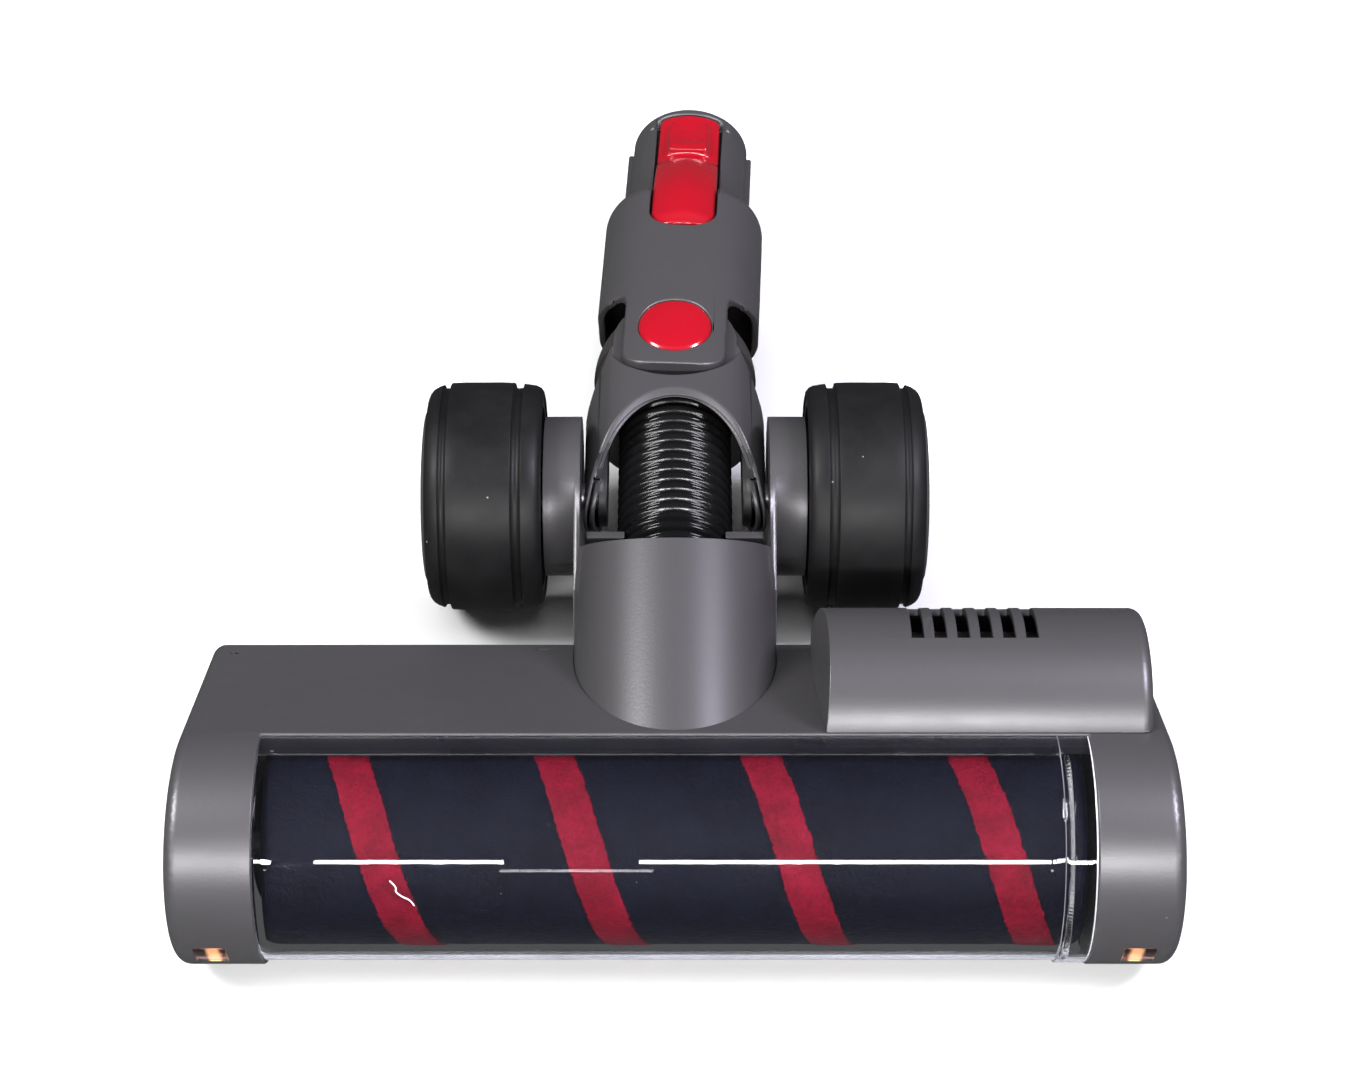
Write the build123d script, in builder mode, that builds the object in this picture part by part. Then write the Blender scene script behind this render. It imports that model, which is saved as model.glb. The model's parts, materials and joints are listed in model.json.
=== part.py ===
from build123d import *
import os
from math import asin, atan2, cos, degrees, hypot, radians, sin, sqrt, tan

# Vacuum floor brush head, in millimetres
# Frame: +X to the right, +Y to the rear, +Z up, origin under the middle of its box, on the floor

os.makedirs("parts", exist_ok=True)

# Overall
HEAD_W = 252.0
HEAD_TAPER = 2.5
END_L = 22.2
AXLE_SPACING = 109.0

# Fits and gaps
SEAT_GAP = 0.1
RUN_GAP = 0.05
MOVE_GAP = 0.4

# Length of cuts that pass right through
FAR = 200.0

# Roller
PILE_GAP = 2.36
STRIPE_T = 0.36
STRIPE_W = 10.5
STRIPE_LEAD = 51.5
STRIPE_INSET = 18.8
STRIPE_ANGLE = 62.0
STRIPE_START = 40.0
CORE_R = 15.5
CORE_WALL = 2.5
PILE_END_GAP = 2.0
STUB_R = 4.0
PLUG_L = 11.0
STUB_PROUD = 3.0

# Housing
BODY_R = 31.0
WALL = 2.5
ROOF_SLOPE = 29.0
REAR_REACH = 61.0
SOLE_T = 2.5
SOLE_Z = 3.5
BLOCK_WALL = 2.5
BLOCK_CAVITY = 15.0
RIM_FILLET = 3.5
REAR_FILLET = 2.0
SPARE = 1.0

# Window
WINDOW_SET = 1.0
WINDOW_T = 2.0
WINDOW_END_ANGLE = 215.0
WINDOW_BAND = 8.0
WINDOW_STEP = 0.6
WINDOW_FLANGE = 7.0

# Motor cover
COVER_X0 = 36.0
COVER_END_GAP = 5.7
COVER_R = 25.0
COVER_WALL = 2.0
COVER_BACK = 3.1
COVER_RISE = 11.95
COVER_DRAFT = 3.0
COVER_LAP = 0.8
COVER_FILLET = 3.0
COVER_EDGE = 1.0
VENT_COUNT = 6
VENT_W = 3.1
VENT_PITCH = 5.8
VENT_X = 60.0
VENT_FROM = 28.0
VENT_TO = 82.0

# Drive
MOTOR_R = 12.5
MOTOR_INSET = 9.0
MOTOR_END_GAP = 25.5
MOTOR_BACK = 12.0
MOTOR_RISE = 10.45
MOTOR_NOSE_R = 5.0
MOTOR_NOSE_L = 2.0
SHAFT_R = 1.6
SHAFT_HOLD = 6.0
SHAFT_PROUD = 1.0
PULLEY_GAP = 1.2
PULLEY_L = 7.5
MOTOR_PULLEY_R = 5.5
ROLLER_PULLEY_R = 13.0
BELT_T = 1.2
BELT_GAP = 0.3
BELT_L = 6.0
BEARING_R = 8.0

# Neck tunnel and drums
TUNNEL_R = 26.7
TUNNEL_WALL = 2.0
TUNNEL_TILT = 9.3
TUNNEL_SETBACK = 1.5
TUNNEL_REAR_REACH = 70.8
TUNNEL_CUT = 31.0
TUNNEL_L = 90.0
DRUM_R = 22.0
DRUM_WALL = 2.0
DRUM_END = 35.7
CHEEK_IN = 25.7
CHEEK_T = 1.5
HUB_R = 7.5

# Wheels
WHEEL_R = 31.5
WHEEL_X0 = 36.0
TYRE_L = 31.5
TYRE_T = 4.0
TYRE_CROWN = 1.0
TYRE_EDGE = 2.2
GROOVE_DEPTH = 1.2
OUTER_BAND = 4.0
OUTER_GROOVE = 2.0
INNER_BAND = 5.5
INNER_GROOVE = 2.5
RIM_WALL = 2.5
RIM_WEB = 4.0
WHEEL_HUB_R = 7.0
HUB_CAP_T = 3.0
HUB_CAP_PROUD = 1.4
AXLE_R = 4.0
AXLE_IN = 18.9
AXLE_SPARE = 2.0
RIM_INSET = 0.5
HUB_CAP_EDGE = 1.2

# Neck, measured along it from the wheel axis and up from its own axis
YOKE_R = 25.2
YOKE_WALL = 3.0
YOKE_LIP = 1.3
YOKE_LIP_L = 3.5
LEG_R = 10.0
ARCH_TOP = 22.3
YOKE_SHOULDER = 26.0
YOKE_NECK = 44.0
YOKE_NECK_HALF = 17.0
INNER_LEG_X0 = 18.6
INNER_LEG_X1 = 21.2
INNER_LEG_R = 8.5
INNER_LEG_TOP = 11.0
BULKHEAD_AT = 27.0
BULKHEAD_T = 4.0
PAD_H = 17.3
PAD_T = 2.7
PAD_HALF = 17.5
LEG_SLOT = 0.6
LEG_SLOT_DEPTH = 7.0
LEG_SLOT_INSET = 1.0
SWIVEL_AT = 44.5
BALL_R = 23.2
BALL_TOP = 14.3
BALL_BOTTOM = -15.0
TONGUE_HALF = 14.5
TONGUE_TIP = 29.0
TONGUE_UNDER = 17.7
TONGUE_CORNER = 7.0
LOWER_TONGUE_HALF = 11.0
TUBE_HALF = 23.4
TUBE_CORNER = 18.0
TUBE_WALL = 2.0
TUBE_FROM = 51.0
TUBE_TO = 109.5
SWIVEL_REST = -2.7
SHOULDER_FILLET = 8.0
RELIEF_R = 4.4
SIDE_CUT_TOP = 56.5
SIDE_CUT_MID = 66.0
SIDE_CUT_LOW = 72.0
SPIGOT_R = 17.5
SPIGOT_TO = 147.5
SPIGOT_BORE = 11.4
BORE_DROP = 3.0
KEY_H = 3.6
KEY_PROUD = 1.5
KEY_L = 34.0
CAP_R = 10.3
CAP_PROUD = 0.5
CAP_DEPTH = 2.4
PIN_R = 4.0

# Hose
HOSE_R = 15.8
HOSE_VALLEY = 14.2
HOSE_BORE = 12.6
HOSE_PITCH = 3.75
HOSE_CREST = 0.9
HOSE_ROUND = 0.3
HOSE_RISE = 0.7
HOSE_FROM = -36.0
HOSE_TO = 27.0
DUCT_DROP = 0.55
COLLAR_AT = -24.0
COLLAR_T = 2.5
COLLAR_INSET = 0.8
COLLAR_TOP = 9.0
COLLAR_BOTTOM = -18.0

# Release catch
CATCH_W = 19.0
CATCH_FROM = 88.2
CATCH_TO = 144.8
CATCH_PAD_TOP = 24.3
CATCH_PAD_UNDER = 20.6
CATCH_NOSE = 0.4
CATCH_RISE = 3.0
CATCH_PAD_L = 13.0
CATCH_PAD_CORNER = 6.5
CATCH_CORNER = 2.0
CATCH_STEP = 1.0
CATCH_SWING = 0.9
CATCH_TOP = 17.4
CATCH_UNDER = 11.9
CATCH_HINGE = 142.4
CATCH_HINGE_H = 13.1
CATCH_PIN_R = 0.7
CATCH_PIN_HALF = 10.4
TOOTH_W = 12.0
TOOTH_FROM = 126.7
TOOTH_TO = 139.5
TOOTH_TOP = 19.0
TOOTH_RUN = 1.5
TOOTH_ROOT = 0.5
TROUGH_H = 9.4
POCKET_H = 16.4
TROUGH_FLOOR = 1.0
SPRING_W = 6.0
SPRING_T = 0.5
SPRING_HALF = 6.0
SPRING_AT = 8.0

# Electrical connector
CONTACT_W = 15.0
CONTACT_H0 = 17.7
CONTACT_H1 = 21.4
CONTACT_TO = 121.5
CONTACT_X = 4.0
CONTACT_R = 1.0
CONTACT_DEPTH = 5.0
CONTACT_PROUD = 2.0

# Lights
LENS_INSET = 10.0
LENS_W = 8.0
LENS_DROP = 5.0
LENS_H = 8.4
CHIP_W = 2.6
CHIP_H = 4.4
CHIP_T = 1.0
BOARD_T = 1.2
BOARD_SET = 7.5

# Sole
SCREW_R = 1.5
SCREW_HEAD_R = 3.0
SCREW_HEAD_T = 1.3
SCREW_L = 8.0
SCREW_SPARE = 1.0
BOSS_R = 3.8
SCREW_INSET = 9.0
SCREW_SIDE_REACH = 52.0
SCREW_MID_X = 36.0
SCREW_MID_REACH = 54.0
FELT_W = 5.0
FELT_T = 2.3
FELT_INSET = 1.0
FELT_CORNER = 1.5
SOLE_INSET = 1.0
SOLE_CORNER = 3.0
CRADLE_T = 3.0
CRADLE_INSET = 4.0
CRADLE_W = 20.0
CRADLE_GAP = 9.5
PCB_W = 22.0
PCB_T = 1.6
PCB_LIFT = 2.0
PCB_INSET_X = 10.0
PCB_SCREW_GAP = 6.0
PCB_INSET_Y = 4.0
RIB_T = 3.0

# Derived places
CHAMBER_R = BODY_R - WALL
PILE_R = CHAMBER_R - PILE_GAP
WINDOW_R = BODY_R - WINDOW_SET
ROLLER_Z = PILE_R + STRIPE_T + RUN_GAP
HEAD_REAR_W = HEAD_W - 2 * HEAD_TAPER
CHAMBER_L = HEAD_W - 2 * END_L
PILE_L = CHAMBER_L - 2 * PILE_END_GAP
STRIPE_X = STRIPE_INSET - PILE_L / 2
COVER_X1 = HEAD_W / 2 - COVER_END_GAP
COVER_REACH = BODY_R + COVER_BACK
COVER_Z = ROLLER_Z + COVER_RISE
MOTOR_X0 = COVER_X0 + MOTOR_INSET
MOTOR_L = COVER_X1 - MOTOR_X0 - MOTOR_END_GAP
MOTOR_REACH = BODY_R + MOTOR_BACK
MOTOR_Z = ROLLER_Z + MOTOR_RISE
PULLEY_X = CHAMBER_L / 2 + BLOCK_WALL + PULLEY_GAP
LENS_X = HEAD_W / 2 - LENS_INSET
LENS_Z0 = ROLLER_Z - LENS_DROP - LENS_H / 2
LENS_Z1 = LENS_Z0 + LENS_H
BOARD_BACK = BODY_R - BOARD_SET
SCREW_SIDE_X = HEAD_W / 2 - SCREW_INSET
neck_reach = TUBE_TO - SHOULDER_FILLET
neck_drop = degrees(asin(WHEEL_R / hypot(neck_reach, TUBE_HALF)) - atan2(TUBE_HALF, neck_reach))
neck_cos = cos(radians(neck_drop))
neck_sin = sin(radians(neck_drop))
swivel_cos = cos(radians(SWIVEL_REST))
swivel_sin = sin(radians(SWIVEL_REST))
spigot_along = SWIVEL_AT + (SPIGOT_TO - SWIVEL_AT) * swivel_cos
total_length = BODY_R + AXLE_SPACING + spigot_along * neck_cos + SPIGOT_R * hypot(swivel_sin * neck_cos, neck_sin)
ROLLER_Y = BODY_R - total_length / 2
WHEEL_Y = ROLLER_Y + AXLE_SPACING
SOLE_TOP = SOLE_Z + SOLE_T
CRADLE_H = MOTOR_Z - SOLE_TOP - CRADLE_GAP
CHAMBER_HALF = CHAMBER_L / 2
PCB_L = CHAMBER_HALF - PCB_INSET_X - SCREW_MID_X - PCB_SCREW_GAP
ROLLER_AXIS = (ROLLER_Y, ROLLER_Z)
REAR_Y = ROLLER_Y + REAR_REACH
MOTOR_AXIS = (ROLLER_Y + MOTOR_REACH, MOTOR_Z)
COVER_AXIS = (ROLLER_Y + COVER_REACH, COVER_Z)
WHEEL_AXIS = (WHEEL_Y, WHEEL_R)
BLOCK_IN = CHAMBER_HALF + BLOCK_WALL
NECK_SEAT_R = CHAMBER_R + WALL / 2
ROOF_START = 90.0 - ROOF_SLOPE
TUNNEL_TOP_REACH = BODY_R * cos(radians(ROOF_START)) + TUNNEL_SETBACK
DUCT_INLET_Z = ROLLER_Z - DUCT_DROP
contact_h = -(CONTACT_H0 + CONTACT_H1) / 2

PIVOT = Vector(0, WHEEL_Y, WHEEL_R)
NECK_DIR = Vector(0, neck_cos, -neck_sin)
NECK_UP = Vector(0, neck_sin, neck_cos)
NECK_PLAN = Plane(origin=PIVOT, x_dir=(1, 0, 0), z_dir=NECK_UP)
NECK_SIDE = Plane(origin=PIVOT, x_dir=NECK_DIR, z_dir=(1, 0, 0))
NECK_SECTION = Plane(origin=PIVOT, x_dir=(-1, 0, 0), z_dir=NECK_DIR)
SIDES = (("left", -1), ("right", 1))


def polar(centre, radius, angle):
    """Point at an angle from +Y towards +Z, in the side view."""
    return (centre[0] + radius * cos(radians(angle)), centre[1] + radius * sin(radians(angle)))


def roof_z(y, depth=0.0):
    """Height of the roof at y, or of a plane that lies depth below it."""
    foot = polar(ROLLER_AXIS, BODY_R - depth, ROOF_START)
    return foot[1] - (y - foot[0]) * tan(radians(ROOF_SLOPE))


def half_width(y):
    """Half of the housing's width at y."""
    share = (y - ROLLER_Y + BODY_R) / (BODY_R + REAR_REACH)
    return (HEAD_W + (HEAD_REAR_W - HEAD_W) * share) / 2


def side_plane(x):
    """Side view plane at x, with sketch axes Y and Z."""
    return Plane.YZ.offset(x)


def save(piece, name):
    """Label a finished piece and write it."""
    piece.part.label = name
    export_step(piece.part, f"parts/{name}.step")


def save_turned(piece, name):
    """Turn a piece of the tube to its rest on the swivel, then write it."""
    piece.part = piece.part.rotate(Axis(PIVOT + NECK_DIR * SWIVEL_AT, NECK_UP), SWIVEL_REST)
    save(piece, name)


SCREWS = [
    (-SCREW_SIDE_X, ROLLER_Y + SCREW_SIDE_REACH),
    (SCREW_SIDE_X, ROLLER_Y + SCREW_SIDE_REACH),
    (-SCREW_MID_X, ROLLER_Y + SCREW_MID_REACH),
    (SCREW_MID_X, ROLLER_Y + SCREW_MID_REACH),
]

# Tunnel plane: its origin is on the tunnel's axis below the place where its top meets the roof
tunnel_cos = cos(radians(TUNNEL_TILT))
tunnel_sin = sin(radians(TUNNEL_TILT))
tunnel_top_z = roof_z(ROLLER_Y + TUNNEL_TOP_REACH)
tunnel_z = tunnel_top_z - TUNNEL_R / tunnel_cos
TUNNEL = Plane(
    origin=(0, ROLLER_Y + TUNNEL_TOP_REACH, tunnel_z),
    x_dir=(-1, 0, 0),
    z_dir=(0, tunnel_cos, tunnel_sin),
)
tunnel_rear_z = tunnel_top_z + (TUNNEL_REAR_REACH - TUNNEL_TOP_REACH) * tan(radians(TUNNEL_TILT))
TUNNEL_REAR = Plane(
    origin=(0, ROLLER_Y + TUNNEL_REAR_REACH, tunnel_rear_z),
    x_dir=(1, 0, 0),
    z_dir=(0, cos(radians(TUNNEL_CUT)), sin(radians(TUNNEL_CUT))),
)

# Duct plane: it starts at the hose's lower end and runs down to the roller chamber
DUCT_START = PIVOT + NECK_DIR * HOSE_FROM
DUCT_DIR = (Vector(0, ROLLER_Y + BODY_R, DUCT_INLET_Z) - DUCT_START).normalized()
DUCT = Plane(origin=DUCT_START, x_dir=(1, 0, 0), z_dir=DUCT_DIR)

# Space that the tunnel takes out of the housing
with BuildPart() as tunnel_space:
    with BuildSketch(TUNNEL.offset(-TUNNEL_TOP_REACH)):
        Circle(TUNNEL_R + SEAT_GAP)
        with Locations((0, -TUNNEL_R)):
            Rectangle(2 * (TUNNEL_R + SEAT_GAP), 2 * TUNNEL_R)
    extrude(amount=TUNNEL_L)
    with BuildSketch(side_plane(-CHAMBER_HALF)):
        with Locations(ROLLER_AXIS):
            Circle(NECK_SEAT_R)
    extrude(amount=CHAMBER_L, mode=Mode.SUBTRACT)

# Upper shell: teardrop side profile, rounded ends, open to the floor
with BuildPart() as upper_shell:
    sole_half = sqrt(BODY_R**2 - (ROLLER_Z - SOLE_TOP) ** 2)
    front_foot = (ROLLER_Y - sole_half, SOLE_TOP)
    roof_foot = polar(ROLLER_AXIS, BODY_R, ROOF_START)
    with BuildSketch(Plane.YZ):
        with BuildLine():
            ThreePointArc(front_foot, polar(ROLLER_AXIS, BODY_R, 180), roof_foot)
            Polyline(roof_foot, (REAR_Y, roof_z(REAR_Y)), (REAR_Y, SOLE_TOP), front_foot)
        make_face()
    extrude(amount=HEAD_W / 2, both=True)
    with BuildSketch(Plane.XY):
        front_y = ROLLER_Y - BODY_R
        Polygon(
            (-half_width(front_y), front_y),
            (half_width(front_y), front_y),
            (half_width(REAR_Y), REAR_Y),
            (-half_width(REAR_Y), REAR_Y),
            align=None,
        )
    extrude(amount=2 * BODY_R, mode=Mode.INTERSECT)
    rear_edge = upper_shell.edges().filter_by(Axis.X).sort_by(Axis.Y)[-2:].sort_by(Axis.Z)[-1]
    fillet(rear_edge, REAR_FILLET)
    ends = upper_shell.faces().filter_by(lambda face: abs(face.normal_at().X) > 0.9)
    fillet(ends.edges().filter_by(lambda edge: edge.center().Z > SOLE_TOP + SPARE), RIM_FILLET)
    # Roller chamber, open to the front and the floor
    with BuildSketch(side_plane(-CHAMBER_HALF)):
        with Locations(ROLLER_AXIS):
            Circle(CHAMBER_R)
        with BuildLine():
            reach = 2 * BODY_R
            Polyline(
                ROLLER_AXIS,
                polar(ROLLER_AXIS, reach, STRIPE_ANGLE),
                (ROLLER_Y - reach, ROLLER_Z + reach),
                (ROLLER_Y - reach, ROLLER_Z - reach),
                (ROLLER_Y, ROLLER_Z - reach),
                close=True,
            )
        make_face()
    extrude(amount=CHAMBER_L, mode=Mode.SUBTRACT)
    # Space behind the chamber, under the roof
    with BuildSketch(side_plane(-CHAMBER_HALF)):
        inner_foot = polar(ROLLER_AXIS, CHAMBER_R, ROOF_START)
        rear_in = REAR_Y - WALL
        with BuildLine():
            Polyline(
                ROLLER_AXIS,
                inner_foot,
                (rear_in, roof_z(rear_in, WALL)),
                (rear_in, 0),
                (ROLLER_Y, 0),
                close=True,
            )
        make_face()
        with Locations(ROLLER_AXIS):
            Circle(BODY_R, mode=Mode.SUBTRACT)
    extrude(amount=CHAMBER_L, mode=Mode.SUBTRACT)
    # Hollow ends
    with BuildSketch(side_plane(BLOCK_IN), side_plane(-BLOCK_IN - BLOCK_CAVITY)):
        with Locations(ROLLER_AXIS):
            Circle(CHAMBER_R)
        with BuildLine():
            Polyline(
                ROLLER_AXIS,
                inner_foot,
                (rear_in, roof_z(rear_in, WALL)),
                (rear_in, 0),
                (ROLLER_Y, 0),
                close=True,
            )
        make_face()
    extrude(amount=BLOCK_CAVITY, mode=Mode.SUBTRACT)
    # Seat of the neck housing
    add(tunnel_space.part, mode=Mode.SUBTRACT)
    # Screw bosses
    for place_x, place_y in SCREWS:
        with BuildSketch(Plane.XY.offset(SOLE_TOP)):
            with Locations((place_x, place_y)):
                Circle(BOSS_R)
        extrude(amount=roof_z(place_y, WALL) - SOLE_TOP + SPARE)
    with BuildSketch(Plane.XY.offset(SOLE_TOP)):
        with Locations(*SCREWS):
            Circle(SCREW_R + RUN_GAP)
    extrude(amount=SCREW_L, mode=Mode.SUBTRACT)
    # Opening under the motor cover
    with BuildSketch(side_plane(COVER_X0 + 2 * COVER_WALL)):
        with Locations(COVER_AXIS):
            Circle(COVER_R - COVER_WALL - COVER_LAP)
        with Locations(ROLLER_AXIS):
            Circle(BODY_R, mode=Mode.SUBTRACT)
    extrude(amount=COVER_X1 - COVER_X0 - 4 * COVER_WALL, mode=Mode.SUBTRACT)
    # Roller bushes
    with BuildSketch(side_plane(-BLOCK_IN)):
        with Locations(ROLLER_AXIS):
            Circle(BEARING_R + SEAT_GAP)
    extrude(amount=2 * BLOCK_IN, mode=Mode.SUBTRACT)
    # Suction inlet, in line with the duct
    with BuildSketch(DUCT):
        Circle(HOSE_BORE)
    extrude(amount=AXLE_SPACING + HOSE_FROM, mode=Mode.SUBTRACT)
    # Front light openings
    with BuildSketch(Plane.XZ.offset(-ROLLER_Y)):
        with Locations((-LENS_X, (LENS_Z0 + LENS_Z1) / 2), (LENS_X, (LENS_Z0 + LENS_Z1) / 2)):
            Rectangle(LENS_W, LENS_Z1 - LENS_Z0)
    extrude(amount=2 * BODY_R, mode=Mode.SUBTRACT)
save(upper_shell, "upper_shell")

# Window: clear wall with a stepped rear flange and a band at its right end
with BuildPart() as window:
    window_start = STRIPE_ANGLE + degrees(SEAT_GAP / WINDOW_R)
    window_half = CHAMBER_HALF - SEAT_GAP
    window_in = WINDOW_R - WINDOW_T
    flange_end = window_start + degrees(WINDOW_FLANGE / WINDOW_R)
    for outer, from_x, end in (
        (WINDOW_R, -window_half, WINDOW_END_ANGLE),
        (WINDOW_R + WINDOW_STEP, -window_half, flange_end),
        (WINDOW_R + WINDOW_STEP, window_half - WINDOW_BAND, WINDOW_END_ANGLE),
    ):
        with BuildSketch(side_plane(from_x)):
            with BuildLine():
                CenterArc(ROLLER_AXIS, outer, window_start, end - window_start)
                CenterArc(ROLLER_AXIS, window_in, window_start, end - window_start)
                Line(polar(ROLLER_AXIS, outer, window_start), polar(ROLLER_AXIS, window_in, window_start))
                Line(polar(ROLLER_AXIS, outer, end), polar(ROLLER_AXIS, window_in, end))
            make_face()
        extrude(amount=window_half - from_x)
save(window, "window")

# Motor cover: vented hump that stands on the roof
with BuildPart() as motor_cover:
    below_roof = [
        (ROLLER_Y - BODY_R, roof_z(ROLLER_Y - BODY_R, -RUN_GAP)),
        (REAR_Y + BODY_R, roof_z(REAR_Y + BODY_R, -RUN_GAP)),
        (REAR_Y + BODY_R, -FAR),
        (ROLLER_Y - BODY_R, -FAR),
    ]
    with BuildSketch(side_plane(COVER_X0)):
        with Locations(COVER_AXIS):
            Circle(COVER_R)
        Polygon(*below_roof, align=None, mode=Mode.SUBTRACT)
    extrude(amount=COVER_X1 - COVER_X0)
    # Left end leans in
    with BuildSketch(Plane.XZ.offset(-REAR_Y)):
        Polygon(
            (COVER_X0 - COVER_EDGE, COVER_Z),
            (COVER_X0, COVER_Z),
            (COVER_X0 + COVER_DRAFT, COVER_Z + COVER_R),
            (COVER_X0 - COVER_EDGE, COVER_Z + COVER_R),
            align=None,
        )
    extrude(amount=REAR_REACH, mode=Mode.SUBTRACT)
    right_end = motor_cover.faces().sort_by(Axis.X)[-1]
    fillet(right_end.edges().filter_by(GeomType.CIRCLE), COVER_FILLET)
    left_end = motor_cover.faces().filter_by(GeomType.PLANE).sort_by(Axis.X)[0]
    fillet(left_end.edges().filter_by(lambda edge: edge.geom_type != GeomType.LINE), COVER_EDGE)
    with BuildSketch(side_plane(COVER_X0 + COVER_DRAFT + COVER_WALL)):
        with Locations(COVER_AXIS):
            Circle(COVER_R - COVER_WALL)
        Polygon(*below_roof, align=None, mode=Mode.SUBTRACT)
    extrude(amount=COVER_X1 - COVER_X0 - COVER_DRAFT - 2 * COVER_WALL, mode=Mode.SUBTRACT)
    # Vent slots from just behind the top down the rear
    for index in range(VENT_COUNT):
        with BuildSketch(side_plane(VENT_X + index * VENT_PITCH)):
            Polygon(
                COVER_AXIS,
                polar(COVER_AXIS, 2 * COVER_R, VENT_FROM),
                polar(COVER_AXIS, 2 * COVER_R, VENT_TO),
                align=None,
            )
            with Locations(COVER_AXIS):
                Circle(COVER_R - 2 * COVER_WALL, mode=Mode.SUBTRACT)
        extrude(amount=VENT_W, mode=Mode.SUBTRACT)
save(motor_cover, "motor_cover")

# Neck housing: tunnel with flat floor, cheeks and the two drums on the wheel axis
with BuildPart() as neck_housing:
    with BuildSketch(TUNNEL.offset(-TUNNEL_TOP_REACH)):
        Circle(TUNNEL_R)
        with Locations((0, -TUNNEL_R)):
            Rectangle(2 * TUNNEL_R, 2 * TUNNEL_R)
    extrude(amount=TUNNEL_L + TUNNEL_R)
    with BuildSketch(TUNNEL_REAR):
        Rectangle(FAR, FAR)
    extrude(amount=FAR, mode=Mode.SUBTRACT)
    # Cheeks reach back to the wheel axis
    for _, sign in SIDES:
        with BuildSketch(side_plane(sign * CHEEK_IN)):
            with BuildLine():
                CenterArc(WHEEL_AXIS, DRUM_R, 0, 360)
                Polyline(
                    (ROLLER_Y + REAR_REACH, SOLE_TOP + WALL),
                    (ROLLER_Y + REAR_REACH, tunnel_z),
                    (ROLLER_Y + TUNNEL_REAR_REACH, tunnel_z + TUNNEL_R / 2),
                )
            make_hull()
        extrude(amount=sign * CHEEK_T)
    with BuildSketch(TUNNEL.offset(-TUNNEL_TOP_REACH)):
        inner_r = TUNNEL_R - TUNNEL_WALL
        Circle(inner_r)
        with Locations((0, -TUNNEL_R)):
            Rectangle(2 * inner_r, 2 * TUNNEL_R)
    extrude(amount=TUNNEL_L + TUNNEL_R, mode=Mode.SUBTRACT)
    for _, sign in SIDES:
        with BuildSketch(side_plane(sign * CHEEK_IN)):
            with Locations(WHEEL_AXIS):
                Circle(DRUM_R)
        extrude(amount=sign * (DRUM_END - CHEEK_IN))
        with BuildSketch(side_plane(sign * (CHEEK_IN + DRUM_WALL))):
            with Locations(WHEEL_AXIS):
                Circle(DRUM_R - DRUM_WALL)
                Circle(HUB_R, mode=Mode.SUBTRACT)
        extrude(amount=sign * DRUM_END, mode=Mode.SUBTRACT)
        with BuildSketch(side_plane(sign * CHEEK_IN)):
            with Locations(WHEEL_AXIS):
                Circle(AXLE_R + RUN_GAP / 2)
        extrude(amount=sign * DRUM_END, mode=Mode.SUBTRACT)
    # Floor of the tunnel and the end against the roller chamber
    with BuildSketch(Plane.XY.offset(SOLE_TOP)):
        floor_l = TUNNEL_REAR_REACH - BODY_R
        with Locations((0, ROLLER_Y + BODY_R + floor_l / 2)):
            Rectangle(2 * TUNNEL_R, floor_l)
    extrude(amount=WALL)
    with BuildSketch(Plane.XY.offset(SOLE_TOP)):
        Rectangle(2 * FAR, 2 * FAR)
    extrude(amount=-FAR, mode=Mode.SUBTRACT)
    with BuildSketch(side_plane(-CHAMBER_HALF)):
        with Locations(ROLLER_AXIS):
            Circle(NECK_SEAT_R + SEAT_GAP)
    extrude(amount=CHAMBER_L, mode=Mode.SUBTRACT)
save(neck_housing, "neck_housing")

# Suction duct from the roller chamber to the hose
with BuildPart() as suction_duct:
    with BuildSketch(DUCT.offset(-HOSE_R)):
        Circle(HOSE_R)
        Circle(HOSE_BORE, mode=Mode.SUBTRACT)
    extrude(amount=AXLE_SPACING + HOSE_FROM + HOSE_R)
    with BuildSketch(NECK_SECTION.offset(HOSE_FROM)):
        Circle(2 * HOSE_R)
    extrude(amount=2 * HOSE_R, mode=Mode.SUBTRACT)
    with BuildSketch(side_plane(-CHAMBER_HALF)):
        with Locations(ROLLER_AXIS):
            Circle(NECK_SEAT_R + SEAT_GAP)
    extrude(amount=CHAMBER_L, mode=Mode.SUBTRACT)
save(suction_duct, "suction_duct")

# Hose collar: ledges either side of the hose, between the cheeks
with BuildPart() as hose_collar:
    collar_half = TUNNEL_R - TUNNEL_WALL - COLLAR_INSET
    with BuildSketch(NECK_SECTION.offset(COLLAR_AT)):
        with Locations((0, (COLLAR_TOP + COLLAR_BOTTOM) / 2)):
            Rectangle(2 * collar_half, COLLAR_TOP - COLLAR_BOTTOM)
        Circle(HOSE_R + MOVE_GAP, mode=Mode.SUBTRACT)
    extrude(amount=COLLAR_T)
save(hose_collar, "hose_collar")

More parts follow.
